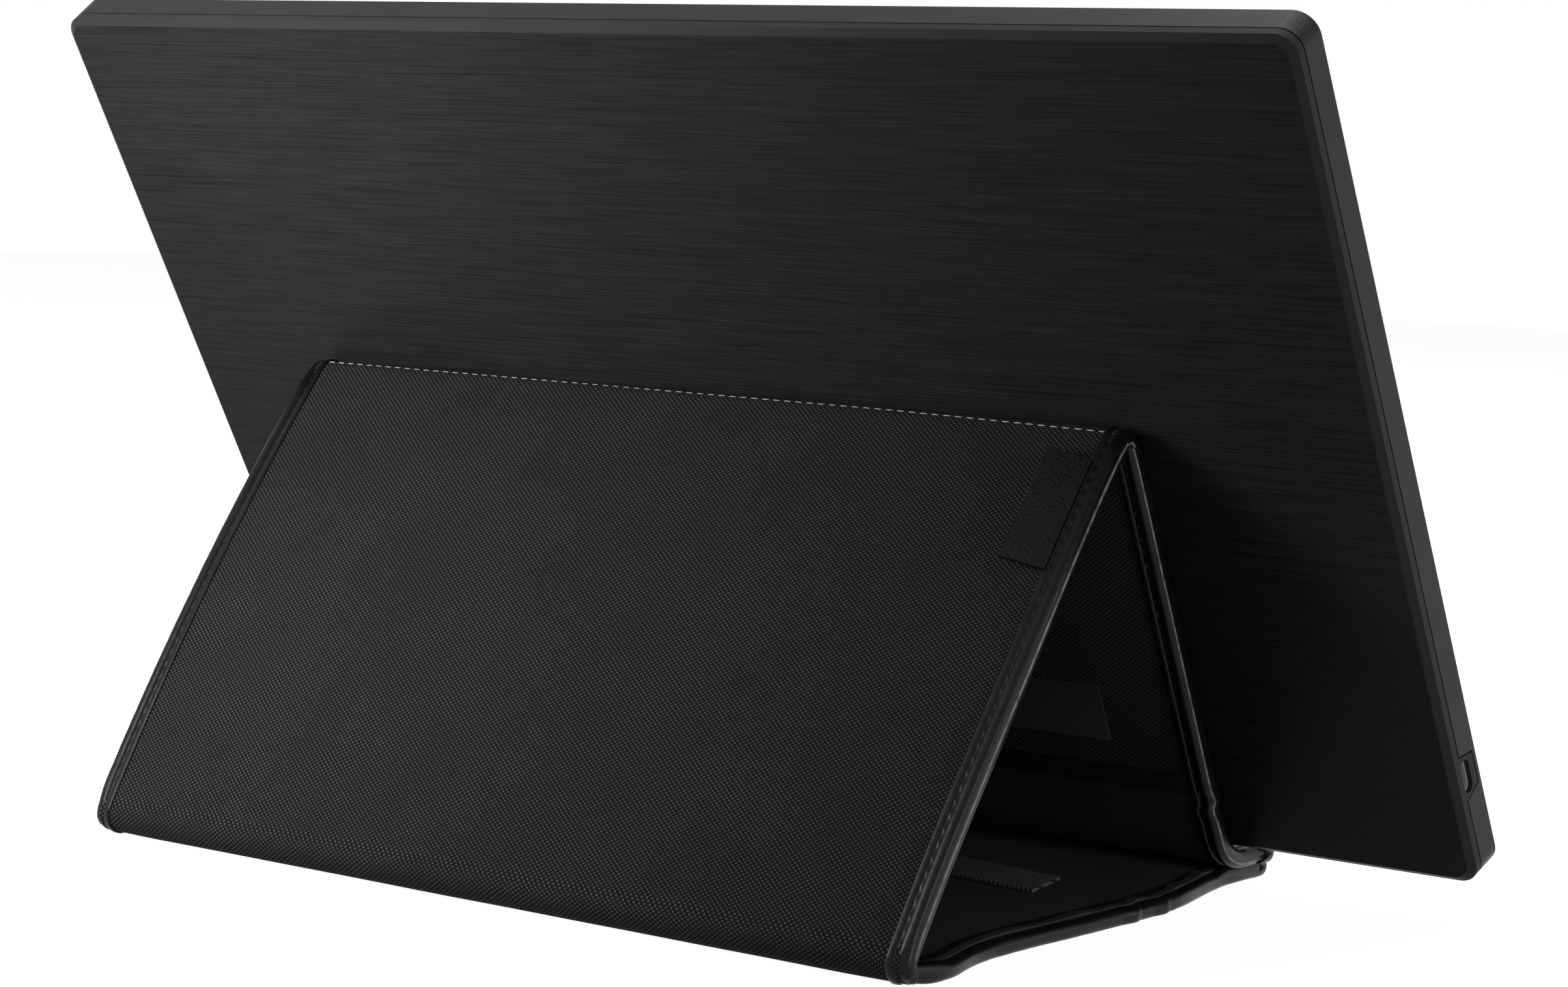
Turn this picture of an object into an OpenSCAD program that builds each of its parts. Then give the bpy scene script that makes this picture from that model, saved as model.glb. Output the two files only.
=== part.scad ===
// Portable monitor standing in its folded fabric sleeve.
// X runs along the screen, the screen faces -Y, +Z is up, and the sleeve's
// base rests on Z = 0. The monitor leans back on the sleeve's ridge.

/* [Monitor] */
// Thickness from the back plane to the front face
monitor_t = 11.5; // [11:0.1:14]
// How far the side walls flare out from the rear edge to the front rim
side_flare = 0.9; // [0.4:0.1:1.5]
// Radius of the monitor's corners
corner_r = 6; // [4:0.5:10]
// Depth of the bevel round the back
bevel_d = 1.5; // [1:0.1:2]
// Width of the bevel round the back
bevel_w = 2; // [1:0.1:3]
// Height of the rear cover's side strip above the back plane
cover_h = 3.6; // [3:0.1:4.2]
// Width of the groove between rear cover and front bezel
groove_w = 0.35; // [0.2:0.05:0.6]
// Wall of the rear cover
cover_wall = 1.5; // [1:0.1:1.8]
// Wall of the front bezel's sides
bezel_wall = 1.9; // [1.5:0.1:2.5]
// Thickness of the front bezel's face
face_t = 1.1; // [0.8:0.1:1.4]
// Height of the clearance rim inside the parting line
tongue_h = 1.4; // [0.8:0.1:1.7]
// Length of the two steps that the parting line makes round the port
port_tab_l = 13; // [11.5:0.5:16]
// Height of the port tab's top above the back plane
port_tab_h = 9.4; // [8.9:0.1:9.8]

/* [Screen] */
// Width of the picture area
picture_w = 344.2; // [300:0.1:380]
// Height of the picture area
picture_h = 193.6; // [170:0.1:215]
// Width of the bezel beside the picture
side_border = 18.9; // [17:0.1:22]
// Width of the bezel above the picture
top_border = 17; // [15:0.1:19]
// Width of the bezel below the picture
chin = 26.9; // [25:0.1:32]
// Border of the liquid crystal cell beyond the picture
cell_border = 3; // [2:0.5:4]
// Thickness of the liquid crystal cell
cell_t = 1.2; // [0.8:0.1:1.4]
// Thickness of the light guide
guide_t = 1.6; // [1:0.1:1.8]
// Sheet thickness of the backlight tray
tray_t = 0.5; // [0.3:0.1:0.6]
// Sheet thickness of the support plate
plate_t = 0.6; // [0.4:0.1:0.8]

/* [Electronics] */
// Length of the main board
board_l = 118; // [90:1:140]
// Width of the main board
board_w = 46; // [40:1:60]
// Thickness of the circuit boards
board_t = 1; // [0.8:0.1:1.2]
// Height of the port's centre above the bezel's lower edge
port_v = 31.6; // [28:0.1:40]
// Width of the port's metal shell
port_w = 8.94; // [8.8:0.02:9.2]
// Height of the port's metal shell
port_h = 3.26; // [3.1:0.02:3.4]
// Depth of the port's metal shell
port_d = 7.3; // [6.5:0.1:9]
// Sheet thickness of the port's metal shell
port_sheet = 0.3; // [0.2:0.05:0.4]
// Head radius of the screws
screw_head_r = 2; // [1.6:0.1:2.4]
// Shank radius of the screws
screw_r = 0.9; // [0.7:0.1:1.1]

/* [Keys] */
// Length of a front key
key_l = 11; // [8:0.5:12]
// Width of a front key
key_w = 3.4; // [2.6:0.1:4]
// Distance between neighbouring keys
key_pitch = 15; // [14:0.5:18]
// How far a key stands out of the bezel
key_proud = 0.7; // [0.65:0.05:1]
// How far a key travels
key_travel = 0.6; // [0.4:0.05:0.6]
// Distance from the outermost key's centre to the side of the bezel
key_inset = 26; // [20:1:60]
// Height of the key row above the bezel's lower edge
key_v = 11; // [9:0.5:13]

/* [Stance] */
// Angle by which the monitor leans back from upright
lean = 30; // [24:1:34]
// Angle by which the front panel falls away from the monitor's back
gape = 2.8; // [1.6:0.1:3.4]
// Height of the ridge, measured up the monitor's back
ridge_up = 127.9; // [120:0.1:134]
// Gap left where the monitor rests on the fabric
rest_gap = 0.3; // [0.2:0.05:0.4]

/* [Sleeve] */
// Width of the sleeve along the screen
sleeve_w = 266; // [240:1:300]
// How far the sleeve stands to the side of the monitor's middle
sleeve_shift = 7; // [0:0.5:12]
// Length of the rear panel from foot crease to ridge crease
rear_len = 139.5; // [134:0.5:144]
// Height of the rear panel's outward bow
rear_bow = 3; // [0.5:0.1:4]
// Length of the front panel from ridge crease to its lower fold
front_len = 106; // [100:0.5:108]
// Thickness of a padded panel
panel_t = 4.1; // [3.8:0.1:4.6]
// Thickness of the woven outer fabric
weave_t = 1.2; // [0.8:0.1:1.4]
// Thickness of the stiffening boards
board_sheet = 1.7; // [1.4:0.1:2]
// Thickness of the leather edging
edging_t = 0.5; // [0.4:0.1:0.7]
// Width of the leather edging on the panels' faces
edging_w = 6; // [5.5:0.1:12]
// Width of leather that closes the panels' ends
edging_nose = 2.4; // [1.5:0.1:3]
// Radius of the rolled bead along the edging
bead_r = 0.9; // [0.6:0.1:1.1]
// Thickness of the folded lip that carries the monitor
lip_t = 4.9; // [4.2:0.1:5.4]
// Radius of the lip's fold
lip_r = 14; // [13:0.5:15]
// Length of the lip's flat run up to its edge
lip_flat = 12.6; // [11:0.1:20]
// Distance from the base's front edge back to the lip's edge
lip_back = 4.2; // [2:0.1:8]

/* [Sewn parts] */
// Length of the label tab
label_l = 31; // [24:1:40]
// Width of the label tab
label_w = 11; // [9:0.5:18]
// Distance from the label tab's lower end to the foot crease
label_s = 99; // [90:1:100]
// Thickness of the label tab
label_t = 1.4; // [1:0.1:2]
// Width of the loop patch
loop_w = 60; // [40:1:90]
// Height of the loop patch
loop_l = 16; // [12:1:20]
// Distance from the loop patch's upper edge to the ridge
loop_s = 72; // [60:1:74]
// Length of the pull tab
pull_l = 58; // [40:1:70]
// Width of the pull tab
pull_w = 16; // [12:0.5:20]
// Distance from the pull tab to the sleeve's end
pull_in = 28; // [20:1:60]
// Distance from the pull tab to the foot crease
pull_s = 90; // [80:1:110]

/* [Hidden] */

fine = 96;
small = 48;

// Inner faces of two folding panels stay this far from their crease, and the edging less
edging_gap = 0.3;
crease_gap = edging_gap + edging_t;
edged_t = panel_t + 2 * edging_t;
fold_r = crease_gap + panel_t + edging_t;
lining_t = panel_t - weave_t - board_sheet;
panel_mid = crease_gap + panel_t / 2;
panel_end = 0.3;

// Heights of the stack under the monitor
base_top = fold_r - crease_gap;
base_edged = fold_r + edging_t - crease_gap;
lip_mid_z = base_edged + lip_t / 2;
lip_top = base_edged + lip_t;

// Monitor's frame: its lower front rim line at the back plane
mon_z = lip_top + rest_gap - side_flare * cos(lean) - bevel_d * sin(lean);
ridge_off = fold_r + rest_gap;

// Angles and rises of the leaning panels
front_angle = 90 - lean + gape;
ridge_z = mon_z + ridge_up * cos(lean) - ridge_off * sin(lean);
rear_rise = ridge_z - fold_r;
rear_angle = asin(rear_rise / rear_len);
fold_z = ridge_z - front_len * sin(front_angle);

// Lip: straight on for lip_run, then round its fold and flat
lip_start_z = fold_z + panel_mid * cos(front_angle);
lip_run = (lip_start_z - lip_mid_z - lip_r * (1 - cos(front_angle))) / sin(front_angle);
lip_reach = panel_mid * sin(front_angle) + lip_run * cos(front_angle) + lip_r * sin(front_angle) + lip_flat;

// Base, from the foot crease to its front edge, and the creases as points in the YZ plane
base_len = rear_len * cos(rear_angle) + front_len * cos(front_angle) + lip_reach + lip_back;
foot_p = [(base_len - fold_r) / 2, fold_r];
ridge_p = [foot_p[0] - rear_len * cos(rear_angle), ridge_z];
mon_y = ridge_p[0] - ridge_up * sin(lean) - ridge_off * cos(lean);
nose_y = foot_p[0] - base_len;

// Rear panel's bow
bow_r = (rear_len * rear_len / 4 + rear_bow * rear_bow) / (2 * rear_bow);
bow_half = asin(rear_len / 2 / bow_r);

// Directions of the bowed panel's faces where it meets the creases
foot_turn = 90 - rear_angle - bow_half;
ridge_turn = 90 - rear_angle + bow_half;

// Monitor's outline at its front rim
monitor_w = picture_w + 2 * side_border;
monitor_h = picture_h + top_border + chin;

// Depths inside the monitor, measured from the back plane
face_w = monitor_t - face_t;
gasket_t = 0.3;
cell_w = face_w - gasket_t - cell_t;
guide_w = cell_w - guide_t;
tray_w = guide_w - tray_t;
plate_w = tray_w - plate_t;
slack = 0.15;
cell_x = picture_w + 2 * cell_border;
cell_y = picture_h + 2 * cell_border;
picture_v = chin + picture_h / 2;
port_z = 5.4;
port_x = -monitor_w / 2 + side_flare;
board_z = port_z - port_h / 2 - board_t;
board_x = port_x + cover_wall + 1.2;
board_v = port_v - board_w / 2;
chip_t = 0.9;
key_x0 = monitor_w / 2 - key_inset;
key_z = face_w - 0.1;
key_flange = 1.1;
light_x = key_x0 - 3.6 * key_pitch;
key_post_r = 1.7;
key_posts = [key_x0 + key_l / 2 + 3, light_x - 3.2];
key_board_x = [light_x - 5.5, key_x0 + key_l];
key_board_w = 9;
key_cable_w = 2.4;
cable_t = 0.25;
key_cable_l = 155;
key_board_z = guide_w - 1.2;
switch_t = key_z - key_flange - key_travel - 0.1 - key_board_z - board_t;

module lift_x(x0, x1) {
  translate([x0, 0, 0]) rotate([90, 0, 90]) linear_extrude(x1 - x0) children();
}

// Extrudes a section, drawn across X and thickness, along the panel
module along(s0, s1) {
  translate([0, s1, 0]) rotate([90, 0, 0]) linear_extrude(s1 - s0) children();
}

// Turns a section about a crease at the origin, from angle a0 to a1 in the YZ plane
module around(a0, a1) {
  rotate([90, 0, 90]) rotate([0, 0, a0]) rotate_extrude(angle = a1 - a0, $fn = fine)
    mirror([1, -1, 0]) children();
}

// Sweeps a section along the rear panel's bow, between two margins at its ends
module bowed(m0, m1) {
  a0 = 90 - bow_half + m1 / bow_r * 180 / PI;
  a1 = 90 + bow_half - m0 / bow_r * 180 / PI;
  translate([0, rear_len / 2, rear_bow - bow_r]) rotate([90, 0, 90]) rotate([0, 0, a0])
    rotate_extrude(angle = a1 - a0, $fn = 720) translate([bow_r, 0]) mirror([1, -1, 0]) children();
}

// Frames of the three panels: Y runs along the panel from its crease, Z points outwards
module in_base() {
  translate([sleeve_shift, foot_p[0], foot_p[1]]) rotate([180, 0, 0]) children();
}
module in_rear() {
  translate([sleeve_shift, foot_p[0], foot_p[1]]) rotate([180 - rear_angle, 0, 0])
    mirror([0, 0, 1]) children();
}
module in_front() {
  translate([sleeve_shift, ridge_p[0], ridge_p[1]]) rotate([180 + front_angle, 0, 0])
    mirror([0, 0, 1]) children();
}

// Monitor's frame: Y runs up the screen, Z points out of the screen
module in_monitor() {
  translate([0, mon_y, mon_z]) rotate([90 - lean, 0, 0]) children();
}

// One layer of a panel between the end closures, from depth d0 to d1
module layer(d0, d1) {
  translate([-sleeve_w / 2 + edging_nose, d0]) square([sleeve_w - 2 * edging_nose, d1 - d0]);
}

// Leather that wraps both ends of a panel, with a rolled bead on its outer face
module edging(mid, full_t, slot_t, bead) {
  for (side = [0, 1]) mirror([side, 0]) translate([-sleeve_w / 2, mid]) difference() {
    union() {
      translate([full_t / 2, 0]) circle(d = full_t, $fn = small);
      translate([full_t / 2, -full_t / 2]) square([edging_w - full_t / 2, full_t]);
      if (bead) translate([edging_w - bead_r, full_t / 2]) circle(r = bead_r, $fn = small);
    }
    translate([edging_nose, -slot_t / 2]) square([edging_w, slot_t]);
  }
}

// Band of thickness t that follows the lip: on from the front panel, round its fold and flat
module lip_band(t, cut) {
  c = [front_len + lip_run, panel_mid + lip_r];
  translate([front_len + panel_end, panel_mid - t / 2]) square([lip_run - panel_end + skin, t]);
  difference() {
    translate(c) circle(r = lip_r + t / 2, $fn = fine);
    translate(c) circle(r = lip_r - t / 2, $fn = fine);
    translate(c - [3 * lip_r, 2 * lip_r]) square([3 * lip_r, 4 * lip_r]);
    translate(c) rotate(front_angle) translate([0, -2 * lip_r]) square([3 * lip_r, 4 * lip_r]);
  }
  translate(c) rotate(front_angle) translate([-skin, -lip_r - t / 2]) square([lip_flat - cut + skin, t]);
}

// Base panel

module base_outer() {
  color("#2b2926") in_base() along(panel_end, base_len - edging_nose)
    layer(crease_gap + lining_t + board_sheet, crease_gap + panel_t);
}

module base_board() {
  color("#8a7a62") in_base() along(panel_end + 2, base_len - edging_nose)
    layer(crease_gap + lining_t, crease_gap + lining_t + board_sheet);
}

module base_lining() {
  color("#141414") in_base() along(panel_end, base_len - edging_nose)
    layer(crease_gap, crease_gap + lining_t);
}

// The edging closes both ends and the front edge, and stands on the floor
module base_edging() {
  color("#1c1c1c") in_base() {
    along(panel_end, base_len - edging_w + 1) edging(panel_mid, edged_t, panel_t, false);
    translate([0, 0, panel_mid]) front_edge(base_len, edged_t, panel_t);
  }
}

// Leather round a panel's free edge at y, with the panel's own slot left open
module front_edge(y, full_t, slot_t) {
  l = sleeve_w - 2 * edging_nose;
  difference() {
    lift_x(-sleeve_w / 2, sleeve_w / 2) {
      translate([y - full_t / 2, 0]) circle(d = full_t, $fn = small);
      translate([y - edging_w, -full_t / 2]) square([edging_w - full_t / 2, full_t]);
    }
    translate([-l / 2, y - edging_w - 1, -slot_t / 2]) cube([l, edging_w - edging_nose + 1, slot_t]);
  }
}

module foot_crease() {
  color("#2b2926") translate([sleeve_shift, foot_p[0], foot_p[1]]) around(-90, foot_turn)
    layer(fold_r - edging_t - weave_t, fold_r - edging_t);
}

module foot_crease_edging() {
  color("#1c1c1c") translate([sleeve_shift, foot_p[0], foot_p[1]]) around(-90, foot_turn)
    crease_edging();
}

// Edging where it turns round a crease, with a free channel for the fabric
module crease_edging() {
  for (side = [0, 1]) mirror([side, 0]) translate([-sleeve_w / 2, 0]) difference() {
    translate([0.8, edging_gap]) square([edging_w - 0.8, fold_r - edging_gap]);
    translate([edging_nose, 0]) square([edging_w, fold_r - edging_t]);
  }
}

// Lip

module lip_panel() {
  color("#2b2926") in_front() lift_x(-sleeve_w / 2 + edging_nose, sleeve_w / 2 - edging_nose)
    lip_band(lip_t - 2 * edging_t, edging_nose);
}

module lip_edging() {
  color("#1c1c1c") in_front() {
    for (side = [0, 1]) mirror([side, 0, 0]) difference() {
      lift_x(-sleeve_w / 2, -sleeve_w / 2 + edging_w) lip_band(lip_t, edging_w - 1);
      lift_x(-sleeve_w / 2 + edging_nose, 0) lip_band(lip_t - 2 * edging_t, 0);
    }
    translate([0, front_len + lip_run, panel_mid + lip_r]) rotate([front_angle, 0, 0])
      translate([0, 0, -lip_r]) front_edge(lip_flat, lip_t, lip_t - 2 * edging_t);
  }
}

strip_l = 5.5;
strip_t = edging_t;
strip_y = nose_y + lip_back + edging_w + 0.3;

module hook_strip() {
  color("#101010") translate([sleeve_shift - sleeve_w / 2 + 2 * edging_w, strip_y, base_top])
    cube([sleeve_w - 4 * edging_w, strip_l, strip_t]);
}

module lip_loop_strip() {
  color("#181818") translate([sleeve_shift - sleeve_w / 2 + 2 * edging_w, strip_y, base_top + strip_t])
    cube([sleeve_w - 4 * edging_w, strip_l, strip_t]);
}

pull_x = sleeve_shift - sleeve_w / 2 + pull_in;
pull_y = foot_p[0] - pull_s - pull_w;
pull_t = 1;

// Webbing tab with a slanted tip, sewn to the base's lining at its far end
module pull_tab() {
  color("#161616") translate([pull_x, pull_y, base_top]) linear_extrude(pull_t)
    polygon([[0, 0], [pull_l, 0], [pull_l, pull_w], [pull_w / 2, pull_w]]);
}

// Rear panel

module rear_outer() {
  color("#2b2926") in_rear() bowed(panel_end, panel_end)
    layer(crease_gap + lining_t + board_sheet, crease_gap + panel_t);
}

module rear_board() {
  color("#8a7a62") in_rear() bowed(panel_end + 3, panel_end + 3)
    layer(crease_gap + lining_t, crease_gap + lining_t + board_sheet);
}

module rear_lining() {
  color("#141414") in_rear() bowed(panel_end, panel_end) layer(crease_gap, crease_gap + lining_t);
}

module rear_edging() {
  color("#1c1c1c") in_rear() bowed(panel_end, panel_end) edging(panel_mid, edged_t, panel_t, true);
}

module ridge_crease() {
  color("#2b2926") translate([sleeve_shift, ridge_p[0], ridge_p[1]])
    around(ridge_turn, 90 + front_angle) layer(fold_r - edging_t - weave_t, fold_r - edging_t);
}

module ridge_crease_edging() {
  color("#1c1c1c") translate([sleeve_shift, ridge_p[0], ridge_p[1]])
    around(ridge_turn, 90 + front_angle) crease_edging();
}

// Leather tab tucked under the edging and sewn to the outer fabric
module label_tab() {
  a = (90 - bow_half) + (rear_len - label_s - label_l) / bow_r * 180 / PI;
  color("#202020") in_rear() translate([0, rear_len / 2, rear_bow - bow_r]) rotate([90, 0, 90])
    rotate([0, 0, a]) rotate_extrude(angle = label_l / bow_r * 180 / PI, $fn = 720)
      translate([bow_r + crease_gap + panel_t, -sleeve_w / 2 + edging_w]) square([label_t, label_w]);
}

// Front panel

module front_outer() {
  color("#2b2926") in_front() along(panel_end, front_len)
    layer(crease_gap + lining_t + board_sheet, crease_gap + panel_t);
}

module front_board() {
  color("#8a7a62") in_front() along(panel_end + 3, front_len - 2)
    layer(crease_gap + lining_t, crease_gap + lining_t + board_sheet);
}

module front_lining() {
  color("#141414") in_front() along(panel_end, front_len) layer(crease_gap, crease_gap + lining_t);
}

module front_edging() {
  color("#1c1c1c") in_front() along(panel_end, front_len) edging(panel_mid, edged_t, panel_t, false);
}

loop_t = 0.8;
loop_x = sleeve_w / 2 - 26;

module loop_patch() {
  color("#1a1a1a") in_front() translate([-loop_x, loop_s, crease_gap - loop_t])
    cube([loop_w, loop_l, loop_t]);
}

seam_s = 97;
seam_l = 6;
seam_t = 0.5;

module seam_strip() {
  color("#191919") in_front() translate([-sleeve_w / 2 + edging_w, seam_s, crease_gap - seam_t])
    cube([sleeve_w - 2 * edging_w, seam_l, seam_t]);
}

// Monitor housing

// Rounded outline, drawn in from the front rim by the inset
module outline(inset) {
  r = corner_r - inset / 2;
  w = monitor_w - 2 * inset;
  h = monitor_h - 2 * inset;
  translate([-w / 2 + r, inset]) square([w - 2 * r, h]);
  translate([-w / 2, inset + r]) square([w, h - 2 * r]);
  for (x = [-1, 1], y = [0, 1]) translate([x * (w / 2 - r), inset + r + y * (h - 2 * r)])
    circle(r = r, $fn = 32);
}

// How far the side wall lies inside the front rim at depth w
function wall_inset(w) = side_flare * (monitor_t - w) / (monitor_t - bevel_d);

skin = 0.01;

module slice(w, inset) {
  translate([0, 0, w]) linear_extrude(skin) outline(inset);
}

// Tab of the rear cover that holds the port
module port_tab(grow, top) {
  l = port_tab_l + 2 * grow;
  translate([port_x - 3, port_v, 0]) rotate([90, 0, 90]) linear_extrude(3 + bezel_wall + 0.5)
    polygon([[-l / 2, 0], [l / 2, 0], [l / 2, cover_h], [l / 2 - 2, top + grow],
             [-l / 2 + 2, top + grow], [-l / 2, cover_h]]);
}

module housing_skin() {
  hull() {
    slice(bevel_d, side_flare);
    slice(monitor_t - 0.6, 0);
    slice(monitor_t - skin, 0.6);
  }
}

module port_hole() {
  r = port_h / 2 + 0.25;
  l = port_w + 0.5;
  translate([port_x - 4, port_v, port_z]) rotate([0, 90, 0]) linear_extrude(12) {
    for (y = [-1, 1]) translate([0, y * (l / 2 - r)]) circle(r = r, $fn = small);
    square([2 * r, l - 2 * r], center = true);
  }
}

boss_r = 3;
boss_xs = [-monitor_w / 2 + 9, -monitor_w / 6, monitor_w / 6, monitor_w / 2 - 9];
boss_vs = [8.5, monitor_h - 8.5];

module rear_cover() {
  color("#1d1c1b") in_monitor() difference() {
    union() {
      hull() {
        slice(0, side_flare + bevel_w);
        slice(bevel_d, side_flare);
        slice(cover_h - skin, wall_inset(cover_h));
      }
      intersection() {
        housing_skin();
        port_tab(0, port_tab_h);
      }
    }
    translate([0, 0, cover_wall]) linear_extrude(monitor_t) outline(side_flare + cover_wall);
    translate([0, 0, cover_h - tongue_h]) linear_extrude(monitor_t) outline(side_flare + cover_wall - 0.6);
    port_hole();
  }
}

// Pins that carry the key board are staked over behind it
module key_pins() {
  for (x = key_posts) translate([x, key_v, 0]) {
    translate([0, 0, key_board_z - 0.5]) cylinder(r = key_post_r, h = 0.5, $fn = small);
    translate([0, 0, key_board_z - 0.5]) cylinder(r = 1, h = board_t + 1, $fn = small);
    translate([0, 0, key_board_z + board_t]) cylinder(r = key_post_r, h = face_w - key_board_z - board_t,
                                                      $fn = small);
  }
}

module front_bezel() {
  color("#232323") in_monitor() {
    bezel_shell();
    key_pins();
  }
}

module bezel_shell() {
  difference() {
    union() {
      difference() {
        housing_skin();
        translate([0, 0, -1]) linear_extrude(cover_h + groove_w + 1) outline(-5);
      }
      translate([0, 0, cover_h - tongue_h]) linear_extrude(monitor_t - cover_h)
        outline(side_flare + cover_wall - 0.6);
    }
    translate([0, 0, -1]) linear_extrude(plate_w + plate_t + 1) outline(side_flare + bezel_wall);
    translate([0, 0, -1]) linear_extrude(face_w + 1) difference() {
      outline(side_flare + bezel_wall);
      for (x = boss_xs, v = boss_vs) translate([x, v]) circle(r = boss_r, $fn = small);
    }
    translate([-picture_w / 2, picture_v - picture_h / 2, 0]) cube([picture_w, picture_h, 20]);
    port_tab(groove_w, port_tab_h);
    for (i = [0:3]) translate([key_x0 - i * key_pitch, key_v, 0]) linear_extrude(20) key_outline(0.2);
    translate([light_x, key_v, 0]) cylinder(r = 0.9, h = 20, $fn = small);
    for (x = boss_xs, v = boss_vs) translate([x, v, 0]) cylinder(r = screw_r, h = face_w - 0.6, $fn = small);
  }
}

// Screen

module cell_gasket() {
  color("#303030") in_monitor() translate([0, picture_v, face_w - gasket_t]) linear_extrude(gasket_t)
    difference() {
      square([cell_x, cell_y], center = true);
      square([picture_w + 1, picture_h + 1], center = true);
    }
}

module lcd_cell() {
  color("#0b0c0e") in_monitor() translate([-cell_x / 2, picture_v - cell_y / 2, cell_w])
    cube([cell_x, cell_y, cell_t]);
}

module light_guide() {
  color("#dfe6ea") in_monitor() translate([-cell_x / 2 + 1, picture_v - cell_y / 2 + 3, guide_w])
    cube([cell_x - 2, cell_y - 4, guide_t]);
}

module led_bar() {
  color("#e8e4c8") in_monitor() translate([-cell_x / 2 + 1, picture_v - cell_y / 2 + 0.8, guide_w]) {
    cube([cell_x - 2, 0.6, guide_t]);
    for (i = [0:31]) translate([6 + i * (cell_x - 20) / 31, 0.6, 0.3]) cube([4, 1.2, guide_t - 0.6]);
  }
}

module backlight_tray() {
  color("#b8bcc0") in_monitor() translate([0, picture_v, tray_w]) difference() {
    linear_extrude(tray_t + guide_t) square([cell_x, cell_y], center = true);
    translate([0, 0, tray_t]) linear_extrude(9)
      square([cell_x - 2 * tray_t, cell_y - 2 * tray_t], center = true);
  }
}

plate_x = monitor_w - 2 * side_flare - 2 * bezel_wall - 2;
plate_y = monitor_h - 2 * side_flare - 2 * bezel_wall - 2;

// Plate behind the tray, screwed to the bezel's bosses; its posts carry the main board
module support_plate() {
  color("#9ea2a6") in_monitor() {
    difference() {
      translate([-plate_x / 2, (monitor_h - plate_y) / 2, plate_w]) cube([plate_x, plate_y, plate_t]);
      translate([-plate_x / 2 - 1, port_v - 9, 0]) cube([14, 18, 20]);
      translate([key_x0 - 4.4 * key_pitch, key_v - 6, 0]) cube([5.4 * key_pitch, 12, 20]);
      for (x = boss_xs, v = boss_vs) translate([x, v, 0]) cylinder(r = screw_r, h = 20, $fn = small);
    }
    for (p = board_screw_ps) translate([p[0], p[1], board_z + board_t]) difference() {
      cylinder(r = post_r, h = plate_w - board_z - board_t + skin, $fn = small);
      translate([0, 0, -1]) cylinder(r = screw_r, h = plate_w - board_z - board_t + 0.9, $fn = small);
    }
  }
}

module screw(head_w, shank) {
  translate([0, 0, head_w]) difference() {
    union() {
      translate([0, 0, -0.9]) cylinder(r = screw_head_r, h = 0.9, $fn = small);
      cylinder(r = screw_r, h = shank, $fn = small);
    }
    translate([0, 0, -1]) linear_extrude(0.7) {
      square([0.5, 2.4], center = true);
      square([2.4, 0.5], center = true);
    }
  }
}

module plate_screws() {
  color("#c9c9c9") in_monitor() for (x = boss_xs, v = boss_vs) translate([x, v, 0])
    screw(plate_w, face_w - plate_w - 1);
}

// Electronics

board_screw_ps = [for (x = [6, board_l - 6], v = [5, board_w - 5]) [board_x + x, board_v + v]];
post_r = 2.6;

module main_board() {
  color("#1f4a2c") in_monitor() difference() {
    translate([board_x, board_v, board_z]) cube([board_l, board_w, board_t]);
    for (p = board_screw_ps) translate([p[0], p[1], 0]) cylinder(r = screw_r, h = 20, $fn = small);
  }
}

chips = [[24, 12, 10, 10], [42, 26, 12, 8], [64, 10, 7, 7], [78, 28, 9, 6], [92, 12, 5, 8], [60, 32, 4, 3]];

module board_chips() {
  color("#26272a") in_monitor() for (c = chips)
    translate([board_x + c[0], board_v + c[1], board_z - chip_t]) cube([c[2], c[3], chip_t]);
}

module board_screws() {
  color("#c9c9c9") in_monitor() for (p = board_screw_ps) translate([p[0], p[1], 0])
    screw(board_z, plate_w - board_z - 0.3);
}

can_h = chip_t + 0.25;
can_l = 38;
can_w = 30;
can_sheet = 0.2;

module shield_can() {
  color("#a9adb0") in_monitor() translate([board_x + 20, board_v + 8, board_z - can_h]) difference() {
    cube([can_l, can_w, can_h]);
    translate([can_sheet, can_sheet, can_sheet])
      cube([can_l - 2 * can_sheet, can_w - 2 * can_sheet, can_h]);
  }
}

module port_profile(t) {
  r = port_h / 2 - t;
  l = port_w - 2 * t;
  for (y = [-1, 1]) translate([0, y * (l / 2 - r)]) circle(r = r, $fn = small);
  square([2 * r, l - 2 * r], center = true);
}

shell_x = port_x + 0.6;
shell_end = 1;
tongue_in = 0.8;

module port_shell() {
  color("#b9bbbe") in_monitor() translate([shell_x, port_v, port_z]) rotate([0, 90, 0]) difference() {
    linear_extrude(port_d) port_profile(0);
    translate([0, 0, -shell_end]) linear_extrude(port_d) port_profile(port_sheet);
  }
}

module port_tongue() {
  color("#17181a") in_monitor() translate([shell_x + tongue_in, port_v - 3.3, port_z - 0.35])
    cube([port_d - shell_end - tongue_in, 6.6, 0.7]);
}

panel_cable_w = 22;
panel_cable_l = 30;
// Keeps the cable clear of the post beside it
panel_cable_in = 10;

module panel_cable() {
  color("#c08a3a") in_monitor()
    translate([board_x + board_l - panel_cable_w - panel_cable_in, board_v + board_w - 4, board_z + board_t])
      cube([panel_cable_w, panel_cable_l, cable_t]);
}

module key_outline(grow) {
  r = key_w / 2 + grow;
  for (x = [-1, 1]) translate([x * (key_l - key_w) / 2, 0]) circle(r = r, $fn = small);
  square([key_l - key_w, 2 * r], center = true);
}

module key(i) {
  color("#2a2a2a") in_monitor() translate([key_x0 - i * key_pitch, key_v, 0]) {
    translate([0, 0, key_z]) linear_extrude(monitor_t + key_proud - key_z) key_outline(0);
    translate([0, 0, key_z - key_flange]) linear_extrude(key_flange) key_outline(0.8);
  }
}

module power_key() key(0);
module menu_key() key(1);
module up_key() key(2);
module down_key() key(3);

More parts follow.
